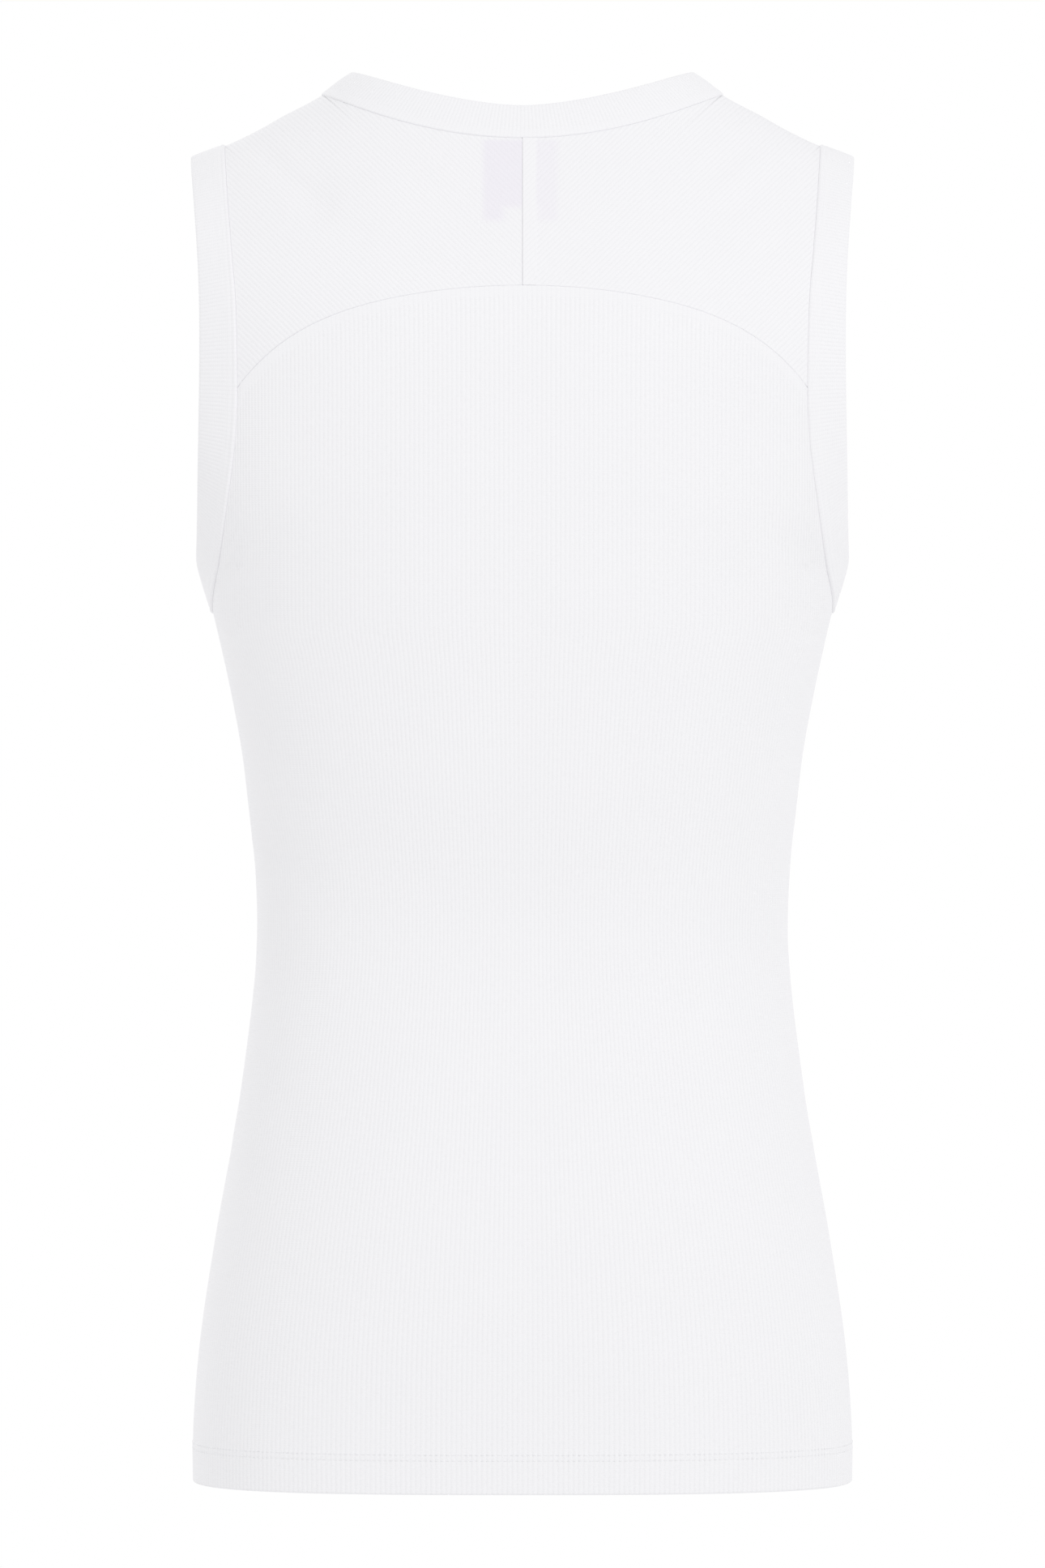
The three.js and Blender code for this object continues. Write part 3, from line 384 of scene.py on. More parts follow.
NECK_EDGE_TOP = float(shoulder_at(NECK_EDGE_X))
neck_seam = {
    BACK: neck_line(NECK_BACK_HEIGHT, NECK_SIDE_HEIGHT, NECK_SIDE_X, NECK_BACK_POWER),
    FRONT: neck_line(NECK_FRONT_HEIGHT, NECK_SIDE_HEIGHT, NECK_SIDE_X, NECK_FRONT_POWER),
}
neck_edge = {
    BACK: neck_line(NECK_EDGE_BACK_HEIGHT, NECK_EDGE_TOP, NECK_EDGE_X, NECK_EDGE_BACK_POWER),
    FRONT: neck_line(NECK_EDGE_FRONT_HEIGHT, NECK_EDGE_TOP, NECK_EDGE_X, NECK_FRONT_POWER),
}


# Relief
def smooth(value, low, high):
    t = np.clip((value - low) / (high - low), 0, 1)
    return t * t * (3 - 2 * t)


def rib_relief(phase, depth):
    """Nought on a crest and -depth in a valley, which lies at each whole number of the phase. Between them
    it goes with |sin(pi phase)| ^ RIB_FLATNESS."""
    return depth * (np.abs(np.sin(math.pi * phase)) ** RIB_FLATNESS - 1)


def inside_ribs(phase):
    """The inner face: its ribs stand where the outer one has its valleys."""
    return -WALL - INSIDE_RIB_DEPTH - rib_relief(phase + 0.5, INSIDE_RIB_DEPTH)


def round_in(distance, radius):
    """How far an edge has turned in at a distance from it: a quarter of a circle."""
    share = 1 - np.clip(distance / radius, 0, 1)
    return radius * (1 - np.sqrt(np.maximum(1 - share**2, 0)))


def arm_edge(height):
    """The share of EDGE_ROUND that an edge turns in by at the armhole."""
    return 1 - (1 - ARM_EDGE_SHARE) * smooth(height, ARM_EDGE_DEEP, ARM_EDGE_SHALLOW)


def stitch_dip(distance):
    return STITCH_DIP * np.exp(-((distance / STITCH_DIP_WIDTH) ** 2))


def strip_at(distance, width):
    """One on the double cloth beside a seam, out to its width, and nought past it."""
    return 1 - smooth(distance, width - ALLOWANCE_END / 2, width + ALLOWANCE_END / 2)


def hem_at(height):
    """One on the turned hem, and nought above it."""
    return 1 - smooth(height, HEM_TOP, HEM_TOP + HEM_STEP)


def hem_relief(height):
    raised = HEM_RISE * hem_at(height)
    dips = sum(stitch_dip(height - row) for row in HEM_ROWS_OF_STITCHES)
    return raised - dips


# Meshes
def kept_of(count, every=INSIDE_EVERY):
    """The rows or columns that the inside keeps: one in every so many, and the last."""
    return np.append(np.arange(0, count - 1, every), count - 1)


class Shell:
    """A piece's points, its cloth coordinates (ribs across, millimetres along) and its triangles."""

    def __init__(self):
        self.points, self.cloth, self.triangles = [], [], []
        self.count = 0

    def add(self, points, cloth):
        numbers = self.count + np.arange(points[..., 0].size).reshape(points.shape[:-1])
        self.count += numbers.size
        self.points.append(points.reshape(-1, 3))
        self.cloth.append(np.stack(np.broadcast_arrays(*cloth), axis=-1).reshape(-1, 2))
        return numbers

    def face(self, numbers, turned=False):
        """Two triangles in each square of a grid, or of many grids, whose rows run up and whose columns run
        from left to right. Each square is parted along its shorter diagonal."""
        a, b = numbers[..., :-1, :-1], numbers[..., :-1, 1:]
        d, c = numbers[..., 1:, :-1], numbers[..., 1:, 1:]
        places = np.concatenate(self.points)
        rising = np.linalg.norm(places[a] - places[c], axis=-1)
        falling = np.linalg.norm(places[b] - places[d], axis=-1)
        to_d = (falling < rising)[..., None]
        first = np.where(to_d, np.stack((a, b, d), axis=-1), np.stack((a, b, c), axis=-1))
        second = np.where(to_d, np.stack((b, c, d), axis=-1), np.stack((a, c, d), axis=-1))
        made = np.concatenate((first.reshape(-1, 3), second.reshape(-1, 3)))
        self.triangles.append(made[:, ::-1] if turned else made)

    def strip(self, left, right, left_at, right_at, turned=False):
        """Fills between two rising lists of points, each step taken in the order of its middle."""
        left_middle = (left_at[1:] + left_at[:-1]) / 2
        right_middle = (right_at[1:] + right_at[:-1]) / 2
        i = np.arange(len(left) - 1)
        j = np.searchsorted(right_middle, left_middle, side="left")
        steps = [np.stack((left[i], right[j], left[i + 1]), axis=-1)]
        j = np.arange(len(right) - 1)
        i = np.searchsorted(left_middle, right_middle, side="right")
        steps.append(np.stack((left[i], right[j], right[j + 1]), axis=-1))
        made = np.concatenate(steps)
        self.triangles.append(made[:, ::-1] if turned else made)

    def wall(self, outer, inner, turned=False, edges=("foot", "head", "sides"), every=INSIDE_EVERY):
        """Both faces and the edges between them. inner holds the rows and columns that the inside keeps."""
        rows, columns = kept_of(len(outer), every), kept_of(outer.shape[1], every)
        all_rows, all_columns = np.arange(len(outer)), np.arange(outer.shape[1])
        self.face(outer, turned)
        self.face(inner, not turned)
        if "foot" in edges:
            self.strip(outer[0], inner[0], all_columns, columns, turned)
        if "head" in edges:
            self.strip(inner[-1], outer[-1], columns, all_columns, turned)
        if "sides" in edges:
            self.strip(inner[:, 0], outer[:, 0], rows, all_rows, turned)
            self.strip(outer[:, -1], inner[:, -1], all_rows, rows, turned)

    def add_both(self, face, outer, inner, cloth):
        """Adds the points of both faces, for the inside only those that it keeps."""
        kept = np.ix_(kept_of(len(outer)), kept_of(outer.shape[1]))
        cloth = np.broadcast_arrays(*cloth)
        outside = self.add(face.at(outer), cloth)
        return outside, self.add(face.at(inner)[kept], [each[kept] for each in cloth])


def make_piece(name, shell, material, replaced=()):
    """Welds the points that coincide, drops the triangles that vanish with that, and makes the piece."""
    points = np.concatenate(shell.points)
    cloth = np.concatenate(shell.cloth)
    corners = np.concatenate(shell.triangles)
    places, numbers = np.unique(np.round(points, WELD_DECIMALS), axis=0, return_inverse=True)
    welded = numbers.reshape(-1)[corners]
    a, b, c = welded.T
    kept = (a != b) & (b != c) & (c != a)
    corners, welded = corners[kept], welded[kept]
    mesh = bpy.data.meshes.new(name)
    mesh.vertices.add(len(places))
    mesh.vertices.foreach_set("co", (places * METRES).ravel())
    mesh.loops.add(welded.size)
    mesh.loops.foreach_set("vertex_index", welded.ravel().astype(np.int32))
    mesh.polygons.add(len(welded))
    mesh.polygons.foreach_set("loop_start", np.arange(0, welded.size, 3, dtype=np.int32))
    mesh.polygons.foreach_set("use_smooth", np.ones(len(welded), bool))
    layer = mesh.uv_layers.new(name="cloth")
    layer.data.foreach_set("uv", cloth[corners.ravel()].ravel().astype(np.float32))
    mesh.update(calc_edges=True)
    mesh.materials.append(material)
    piece = bpy.data.objects.new(name, mesh)
    bpy.context.scene.collection.objects.link(piece)
    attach(piece, "root")
    if replaced:
        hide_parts(*replaced)
    return piece


# Columns of the body panels
ARC_STEPS = np.linspace(0, 1, 401)
ARC_CROWDING = 1.25  # so that steps along a superellipse are of like length, also at its two ends
TABLE_HEIGHTS = np.linspace(0, ARMPIT_HEIGHT, 91)


def section_point(side, height, step):
    """The section's point at an angle: breadth sin(angle) ^ (2 / power) across, and
    bulge cos(angle) ^ (2 / power) out."""
    near, far = step**ARC_CROWDING, (1 - step) ** ARC_CROWDING
    angle = math.pi / 2 * near / (near + far)
    power = 2 / power_at(height)
    x = breadth_at(height) * np.sin(angle) ** power
    return x, bulge_at(side, height) * np.maximum(np.cos(angle), 0) ** power


def section_run(side, heights):
    """How far along its half section each of the ARC_STEPS lies, as a share, one row for each height."""
    run = run_of(np.stack(section_point(side, heights, ARC_STEPS[:, None]), axis=-1))
    return (run / run[-1]).T


def share_of(side, x):
    """The share of the way from the centre to the side seam that x lies at, in the section at the armpit."""
    run = section_run(side, np.array((ARMPIT_HEIGHT,)))[0]
    across = section_point(side, ARMPIT_HEIGHT, ARC_STEPS)[0]
    return float(np.interp(x, across, run))


class Columns:
    """Columns of cloth that follow the ribs of a body panel, from left to right as seen from outside.
    Up to the armpit a column keeps its share of the way to the side seam, and above it a column runs
    straight up, or leans out next to the side seam. It turns from one to the other over RIB_TURN."""

    def __init__(self, side, stops):
        self.side = side
        ribs = [round(RIBS_TO_SIDE * share) for share in stops]
        half = np.arange(RIBS_TO_SIDE * COLUMNS_A_RIB + 1) / COLUMNS_A_RIB
        shares = np.interp(half, ribs, stops)
        self.phase = side * np.concatenate((half[:0:-1], -half))
        self.share = side * np.concatenate((shares[:0:-1], -shares))
        self.at_armhole = np.abs(self.phase) > ribs[-2]
        run = section_run(side, TABLE_HEIGHTS)
        self.steps = np.stack([np.interp(np.abs(self.share), row, ARC_STEPS) for row in run])
        self.reach = section_point(side, ARMPIT_HEIGHT, self.steps[-1])[0]
        self.lean = np.maximum(0, (self.reach - CORNER_X) / (ARMPIT_X - CORNER_X)) ** LEAN_POWER

    def upper_x(self, height):
        fan = np.where(height > YOKE_CORNER_HEIGHT, armhole_at(height) / CORNER_X, 1)
        return (self.reach + (breadth_at(height) - ARMPIT_X) * self.lean) * fan

    def face(self, height):
        """The face at a grid of heights, one column of the grid for each column of cloth."""
        last = len(TABLE_HEIGHTS) - 1
        place = np.clip(height / ARMPIT_HEIGHT, 0, 1) * last
        low = np.minimum(place.astype(int), last - 1)
        column = np.arange(len(self.share))[None, :]
        lower, higher = self.steps[low, column], self.steps[low + 1, column]
        step = lower + (higher - lower) * (place - low)
        low_x, low_y = section_point(self.side, height, step)
        upper = smooth(height, ARMPIT_HEIGHT - RIB_TURN, ARMPIT_HEIGHT)
        x = low_x + (self.upper_x(height) - low_x) * upper
        y = np.where(upper > 0, stand_out(self.side, x, height), low_y)
        return Face(self.side, np.sign(self.share) * x, self.side * y, height)

    def meets(self, low, past):
        """The height at which each column meets a line above low."""
        return root_of(lambda height: past(self.upper_x(height), height), low, HIGHEST)

    def part(self, kept):
        """The same columns, but only those of a slice."""
        made = copy.copy(self)
        for name in ("phase", "share", "reach", "lean"):
            setattr(made, name, getattr(self, name)[kept])
        made.steps = self.steps[:, kept]
        return made


def past_armhole(x, height):
    return x - armhole_at(height)


def past_arch(x, height):
    return height - arch_at(x)


def past_top(x, height):
    return height - np.where(x < NECK_SIDE_X, neck_seam[FRONT](x), shoulder_at(x))


def crossing(columns_face, below_face):
    """The sine of the angle at which each column crosses the edge that it ends on, evened out along it."""
    ends = columns_face.place[-1]
    along = unit(np.gradient(ends, axis=0))
    rising = unit(ends - below_face.place[-1])
    return np.clip(evened(np.linalg.norm(np.cross(along, rising), axis=1)), LEAST_SINE, 1)


def evened(values):
    """Each column's value as the mean of those of EVEN_COLUMNS columns round it."""
    padded = np.pad(values, EVEN_COLUMNS // 2, mode="edge")
    return np.convolve(padded, np.ones(EVEN_COLUMNS) / EVEN_COLUMNS, mode="valid")


def between(rows):
    """Even shares between nought and one, without the two ends, as a column."""
    return np.linspace(0, 1, rows + 2)[1:-1, None]


def heights_up(top, sine, middle_rows, edge):
    """Heights of the rows: the HEM_HEIGHTS, even ones, and ones at the edge's distances from the upper edge.
    The even ones follow the evened edge at first and the edge itself only near it."""
    bottom = HEM_HEIGHTS[-1]
    distances = edge[::-1, None] / np.maximum(sine, ROW_SINE)[None, :]
    distances *= np.minimum(1, EDGE_ROOM * (top - bottom) / distances[0])
    shares = between(middle_rows)
    end = top - distances[0]
    level = evened(end)
    middle = bottom + (level - bottom) * shares + (end - level) * shares**LATE_POWER
    return np.concatenate((HEM_HEIGHTS[:, None] + 0 * top, middle, top - distances))


def body_offsets(columns, heights, calm, relief):
    """How far the outer and the inner face lie out from the plain one."""
    fold = round_in(heights, FOLD_ROUND)
    outer = rib_relief(columns.phase, RIB_DEPTH) * calm + hem_relief(heights) + relief - fold
    return outer, inside_ribs(columns.phase) - HEM_INSIDE * hem_at(heights) + fold


def panel_rows(columns, top, middle_rows, edge):
    """The heights of a panel's rows, its face there, and each point's distance from the upper edge."""
    sine = crossing(columns.face(top[None, :]), columns.face(top[None, :] - 1))
    heights = heights_up(top, sine, middle_rows, edge)
    return heights, columns.face(heights), (top - heights) * sine


def make_back():
    """The lower back: the face of stand_out over columns that follow the ribs, with rows from the hem to the
    arch and the armholes. It is moved out by its ribs, its hem and the roll beside the yoke seam."""
    columns = Columns(BACK, (0, share_of(BACK, CORNER_X), 1))
    is_outer = columns.at_armhole
    arch_tops = columns.meets(ARMPIT_HEIGHT, past_arch)
    top = np.where(is_outer, columns.meets(ARMPIT_HEIGHT, past_armhole), arch_tops)
    heights, face, distance = panel_rows(columns, top, BACK_ROWS, ARCH_DISTANCES)
    near_corner = smooth(np.abs(face.place[..., 0]) / CORNER_X, STRIP_END_SHARE, 1)
    strip = strip_at(distance, YOKE_ALLOWANCE) * (1 - near_corner) * ~is_outer
    calm = smooth(distance, 0, SEAM_CALM) * (1 - STRIP_CALM * strip)
    roll = 1 - ALLOWANCE_FALL * smooth(distance, ALLOWANCE_TOP, YOKE_ALLOWANCE)
    edge = round_in(distance, EDGE_ROUND) * np.where(is_outer, arm_edge(heights), 1)
    relief = ALLOWANCE_RISE * strip * roll - edge
    relief[:, [0, -1]] -= EDGE_ROUND
    outer, inner = body_offsets(columns, heights, calm, relief)
    shell = Shell()
    shell.wall(*shell.add_both(face, outer, inner, (columns.phase, heights)))
    return shell


def make_front():
    """The front, made in the same way up to the level of the yoke's corners. From there on its rows lie
    even along the cloth up to the neck and the shoulders."""
    corner_share = share_of(FRONT, CORNER_X)
    neck_share = share_of(FRONT, NECK_SIDE_X * CORNER_X / float(armhole_at(NECK_SIDE_HEIGHT)))
    columns = Columns(FRONT, (0, neck_share, corner_share, 1))
    is_outer = columns.at_armhole
    top = np.where(is_outer, columns.meets(ARMPIT_HEIGHT, past_armhole), YOKE_CORNER_HEIGHT)
    heights, face, distance = panel_rows(columns, top, FRONT_ROWS, EDGE_DISTANCES)
    calm = np.where(is_outer, smooth(distance, 0, SEAM_CALM), 1)
    relief = -round_in(distance, EDGE_ROUND) * arm_edge(heights) * is_outer
    relief[:, [0, -1]] -= EDGE_ROUND
    first = np.argmin(is_outer)
    relief[-1, [first, -first - 1]] -= EDGE_ROUND * ARM_EDGE_SHARE
    outer, inner = body_offsets(columns, heights, calm, relief)
    shell = Shell()
    outside, inside = shell.add_both(face, outer, inner, (columns.phase, heights))
    shell.wall(outside, inside, edges=("foot", "sides"))
    all_tops, kept = np.arange(first + 1), kept_of(first + 1)
    shell.strip(inside[-1, :len(kept)], outside[-1, :first + 1], kept, all_tops)
    shell.strip(inside[-1, -len(kept):], outside[-1, -first - 1:], kept, all_tops)

    # Above the yoke corner the columns that are left run on to the neck and the shoulders
    upper = columns.part(slice(first, len(columns.share) - first))
    top = upper.meets(YOKE_CORNER_HEIGHT, past_top)
    top[[0, -1]] = TIP_HEIGHT
    heights, distance = even_rise(upper, YOKE_CORNER_HEIGHT, top)
    relief = -round_in(distance, EDGE_ROUND)
    relief[:, [0, -1]] = -EDGE_ROUND * ARM_EDGE_SHARE
    outer, inner = body_offsets(upper, heights, smooth(distance, 0, SEAM_CALM), relief)
    both = shell.add_both(upper.face(heights), outer, inner, (upper.phase, heights))
    shell.wall(*both, edges=("head", "sides"))
    return shell


# Shares of a column's rise that lie closer together towards its upper end
RUN_SHARES = 1 - (1 - np.linspace(0, 1, RUN_STEPS)[:, None]) ** 2


def at_lengths(run, values, wanted):
    """For each column, the values at the wanted lengths of its own run. The columns are laid end to end, far
    enough apart, so that one interpolation does them all."""
    apart = (run.max() + 1) * np.arange(run.shape[1])[None, :]
    flat = np.interp((wanted + apart).T.ravel(), (run + apart).T.ravel(), values.T.ravel())
    return flat.reshape(wanted.shape[::-1]).T


def spaced_lengths(whole, foot, middle_rows, edge):
    """Lengths along each column: foot distances, even ones, and edge distances back from the far end."""
    room = np.minimum(1, END_ROOM * whole / (foot[-1] + edge[-1]))
    low = foot[:, None] * room
    high = whole - edge[::-1, None] * room
    return np.concatenate((low, low[-1] + (high[0] - low[-1]) * between(middle_rows), high))


def even_rise(columns, bottom, top):
    """Heights of rows that are even along the cloth, and each one's distance from the upper edge."""
    tried = top - (top - bottom) * (1 - RUN_SHARES)
    run = run_of(columns.face(tried).place)
    wanted = spaced_lengths(run[-1], np.array((0,)), FRONT_UPPER_ROWS, EDGE_DISTANCES)
    heights = at_lengths(run, tried, wanted)
    heights[0], heights[-1] = bottom, top
    return heights, run[-1] - wanted


# The yoke
# Its ribs lie on the bias along slanting lines, height = slant * x + lift.
SLANT = (NECK_SIDE_HEIGHT - YOKE_CENTRE_HEIGHT) / NECK_SIDE_X
LOWEST_LIFT = YOKE_CORNER_HEIGHT - SLANT * CORNER_X
TIP_LIFT = TIP_HEIGHT - SLANT * TIP_X
YOKE_STOPS = (LOWEST_LIFT, TIP_LIFT, YOKE_CENTRE_HEIGHT, NECK_BACK_HEIGHT)
SLANT_LENGTH = math.hypot(1, SLANT)  # along a slanting column for each step across


def yoke_columns():
    """The lift and the phase of each column. A whole number of ribs lies between each two of the stops."""
    stops = np.array(YOKE_STOPS)
    ribs = np.round(np.diff(stops) / (YOKE_RIB_PITCH * SLANT_LENGTH))
    rib_stops = np.concatenate(([0], np.cumsum(ribs)))
    phase = np.arange(rib_stops[-1] * COLUMNS_A_RIB + 1) / COLUMNS_A_RIB
    return np.interp(phase, rib_stops, stops), phase


def make_yoke(sign):
    """Half a yoke: the face of stand_out along slanting columns, which run from the arch or the centre seam
    to the armhole, the shoulder or the neck, moved out by its ribs and the strip at the centre seam."""
    lift, phase = yoke_columns()
    foot_x = root_of(lambda x: SLANT * x + lift - arch_at(x), 0, CORNER_X)
    foot_x = np.where(lift >= YOKE_CENTRE_HEIGHT, 0, foot_x)
    arm_height = root_of(lambda h: (h - lift) / SLANT - armhole_at(h), YOKE_CORNER_HEIGHT, TIP_HEIGHT)
    shoulder_x = root_of(lambda x: SLANT * x + lift - shoulder_at(x), NECK_SIDE_X, TIP_X)
    neck_x = root_of(lambda x: SLANT * x + lift - neck_seam[BACK](x), 0, NECK_SIDE_X)
    top_x = np.where(lift > YOKE_CENTRE_HEIGHT, neck_x, shoulder_x)
    top_x = np.where(lift < TIP_LIFT, armhole_at(arm_height), top_x)
    foot_x[0] = top_x[0] = CORNER_X
    foot_x[-1] = top_x[-1] = 0

    def face(share):
        x = foot_x + (top_x - foot_x) * share
        return face_at(BACK, sign * x, SLANT * x + lift)

    run = run_of(face(RUN_SHARES).place)
    foot, edge = STRIP_DISTANCES * SLANT_LENGTH, EDGE_DISTANCES * SLANT_LENGTH
    wanted = spaced_lengths(run[-1], foot, YOKE_ROWS, edge)
    share = at_lengths(run, RUN_SHARES + 0 * lift, wanted)
    share[0], share[-1] = 0, 1
    grid = face(share)
    distance = np.minimum(wanted, run[-1] - wanted) / SLANT_LENGTH
    at_top = wanted > run[-1] / 2
    edge = round_in(distance, EDGE_ROUND)
    edge *= np.where(at_top & (lift < TIP_LIFT), ARM_EDGE_SHARE, 1)
    neck_share = NECK_EDGE_SHARE + (1 - NECK_EDGE_SHARE) * smooth(top_x, *NECK_EDGE_DEEPENS)
    edge *= np.where(at_top & (lift > YOKE_CENTRE_HEIGHT), neck_share, 1)
    strip = strip_at(np.abs(grid.place[..., 0]), CENTRE_ALLOWANCE) * (sign < 0)
    calm = smooth(distance, 0, SEAM_CALM) * (1 - STRIP_CALM * strip)
    outer = rib_relief(phase, YOKE_RIB_DEPTH) * calm + ALLOWANCE_RISE * strip - edge
    shell = Shell()
    both = shell.add_both(grid, outer, inside_ribs(phase) + 0 * outer, (sign * phase, wanted))
    shell.wall(*both, turned=sign < 0, edges=("foot", "head"))
    return shell


# The bands
# A band is a closed tube of cloth, flat across, from its seam on the body to its folded free edge.
BAND_WIDTH = 19  # what the profile below is drawn for
BAND_RISE = 0.5
BAND_WALL = 2
BAND_BULGE = 0.5
BAND_CALM = 0.8  # the band's ribs fade out over this distance next to its seam,
BAND_CALM_SHIFT = 0.3  # but begin this much nearer to it on the outside
BAND_THINNED = 6  # and over this distance its inner face draws in to the body's wall
BAND_DISTANCES = np.array((
    0, 0.15, 0.35, 0.6, 0.9, 1.3, 1.8, 2.3, 2.8, 3.3, 3.8, 4.3, 4.8, 5.3, 5.8, 6.3, 6.8, 7.4, 8.6, 10.4,
    12.5, 14.6, 16.6,
))
BAND_BACK_DISTANCES = np.array((15, 12, 9, 6, 3, 1.2, 0))
BAND_FOLD_STEPS = 9
NECKBAND_FOOT_ROUND = 0.65
ARMBAND_FOOT_ROUND = 0.68
# The armband's seam stands up as a soft ridge, with two faint ones beside it: distance, height, half width
ARM_RIDGES = ((1.1, 0.4, 0.7), (3.5, 0.14, 0.6), (6.3, 0.14, 0.6))
ARM_RIB_LAG = 0.032  # the armband's free edge is shorter low down, so its ribs reach it a little lower
ARM_RIB_LAG_POWER = 0.8


def band_profile(stitch_row, foot_round, ridges):
    """The band's cross section as a closed loop: distance from the seam, offset, and the way the ribs rise,
    along and out."""
    near, back = BAND_DISTANCES, BAND_BACK_DISTANCES
    radius = (BAND_RISE + BAND_WALL) / 2
    centre = BAND_WIDTH - radius
    strip = strip_at(near, stitch_row)
    outer = BAND_RISE - round_in(near, foot_round) + ALLOWANCE_RISE / 2 * strip
    outer = outer - stitch_dip(near - stitch_row + ALLOWANCE_END / 2)
    for ridge_at, rise, half_width in ridges:
        outer = outer + rise * np.exp(-(((near - ridge_at) / half_width) ** 2))
    turns = np.linspace(0, math.pi, BAND_FOLD_STEPS)
    fold_distance = centre + radius * np.sin(turns)
    fold_offset = BAND_RISE - radius + radius * np.cos(turns)
    inner = -BAND_WALL + (BAND_WALL - WALL) * (1 - smooth(back, 0, BAND_THINNED))
    distance = np.concatenate((near, fold_distance, back, near[:1]))
    offset = np.concatenate((outer, fold_offset, inner, outer[:1]))
    rise_along = np.concatenate((0 * near, np.sin(turns), 0 * back, [0]))
    calm = smooth(near + BAND_CALM_SHIFT, 0, BAND_CALM) * (1 - STRIP_CALM * strip)
    rise_out = np.concatenate((calm, np.cos(turns), -smooth(back, 0, BAND_CALM), calm[:1]))
    return distance, offset, rise_along, rise_out


def even_along(curve, start, end):
    """A curve's length, and what gives, for shares of that length, the values that it is worked out from."""
    tried = np.linspace(start, end, CURVE_STEPS)
    run = run_of(curve(tried))
    return run[-1], lambda shares: np.interp(shares * run[-1], run, tried)


def joined(seam, edge, stretches):
    """The seam's places and outward directions, the free edge's places and the phases, all round. A stretch
    is a side, its start and end, and the share of the free edge that belongs to a share of the seam."""
    parts = []
    from_rib = 0
    for side, start, end, edge_share in stretches:
        length, seam_turns = even_along(lambda turn: seam(side, turn).place, start, end)
        edge_turns = even_along(lambda turn: edge(side, turn), start, end)[1]
        count = round(length / BAND_RIB_PITCH) * COLUMNS_A_RIB
        shares = np.arange(count) / count
        face = seam(side, seam_turns(shares))
        phase = from_rib + np.arange(count) / COLUMNS_A_RIB
        parts.append((face.place, face.out, edge(side, edge_turns(edge_share(shares))), phase))
        from_rib += count // COLUMNS_A_RIB
    return [np.concatenate(each) for each in zip(*parts)]


class Band:
    """The rails of a band, and its points at a distance from the seam and an offset from the rails."""

    def __init__(self, seam, edge, stretches):
        self.feet, self.foot_out, self.edges, self.phase = joined(seam, edge, stretches)
        self.across = self.edges - self.feet
        self.width = np.linalg.norm(self.across, axis=1, keepdims=True)
        along = np.roll(self.edges, -1, axis=0) - np.roll(self.edges, 1, axis=0)
        self.edge_out = unit(np.cross(along, self.across))

    def at(self, distance, offset, aside=0):
        """distance and offset are in the profile's own millimetres. The way out turns from the seam's to the
        free edge's, and the band swells a little between them."""
        share = distance / BAND_WIDTH
        turn = np.sqrt(np.clip(share, 0, 1))
        out = unit(self.foot_out * (1 - turn) + self.edge_out * turn)
        bulge = BAND_BULGE * np.sin(math.pi * np.clip(share, 0, 1))
        return self.feet + self.across * (share + aside / self.width) + out * (offset + bulge)


def make_band(band, stitch_row, depth, foot_round, ridges=()):
    """The profile swept all round, with the ribs raised along its outward direction."""
    shell = Shell()
    profile = band_profile(stitch_row, foot_round, ridges)
    distance, offset, rise_along, rise_out = (each[:, None, None] for each in profile)
    relief = rib_relief(band.phase, depth)[None, :, None]
    points = band.at(distance, offset + relief * rise_out, relief * rise_along)
    points = np.concatenate((points, points[:, :1]), axis=1)
    phase = np.append(band.phase, band.phase[-1] + 1 / COLUMNS_A_RIB)
    loop = run_of(np.stack(profile[:2], axis=1))
    shell.face(shell.add(points, (phase[None, :], loop[:, None])))
    return shell


def neckband_rails():
    """Both rails lie on the face: x is the rail's half width times sin(pi / 2 turn), and the height follows
    from x by neck_line."""
    def seam(side, turn):
        x = NECK_SIDE_X * np.sin(turn * math.pi / 2)
        return face_at(side, x, neck_seam[side](x))

    def edge(side, turn):
        x = NECK_EDGE_X * np.sin(turn * math.pi / 2)
        return face_at(side, x, neck_edge[side](x)).place

    def same(share):
        return share

    return Band(seam, edge, ((BACK, 1, -1, same), (FRONT, -1, 1, same)))


def armband_edge(side):
    """A smooth curve through the ARMBAND_EDGE, carried on past both ends by its own mirror image."""
    height, x, back = np.array(ARMBAND_EDGE, float).T
    y = side * back * bulge_at(side, height) / back_at(height)
    points = np.stack((x, y, height - CARRY_HEIGHT), axis=1)
    beyond = (1, -1, 1)
    points = np.concatenate((points[1:2] * beyond, points, points[-2:-1] * beyond))
    run = run_of(points)
    curves = [curve_through(np.column_stack((run, each)), 1) for each in points.T]
    start, end = run[1], run[-2]
    return lambda turn: np.stack([curve(start + (end - start) * turn) for curve in curves], axis=-1)


def armband_rails():
    """The seam's height goes with (1 - cos(pi turn)) / 2 from the armpit to the shoulder tip, and its x
    follows from the height. The free edge is the curve of armband_edge."""
    edges = {side: armband_edge(side) for side in (BACK, FRONT)}

    def seam(side, turn):
        height = ARMPIT_HEIGHT + (TIP_HEIGHT - ARMPIT_HEIGHT) * (1 - np.cos(turn * math.pi)) / 2
        return face_at(side, armhole_at(height), height)

    def edge(side, turn):
        return edges[side](turn)

    def rising(share):
        return share - ARM_RIB_LAG * np.sin(math.pi * share**ARM_RIB_LAG_POWER)

    def falling(share):
        return 1 - rising(1 - share)

    return Band(seam, edge, ((BACK, 0, 1, rising), (FRONT, 1, 0, falling)))


def mirrored(shell):
    """The same piece for the wearer's other side."""
    made = Shell()
    made.points = [points * (-1, 1, 1) for points in shell.points]
    made.cloth = shell.cloth
    made.triangles = [triangles[:, ::-1] for triangles in shell.triangles]
    return made


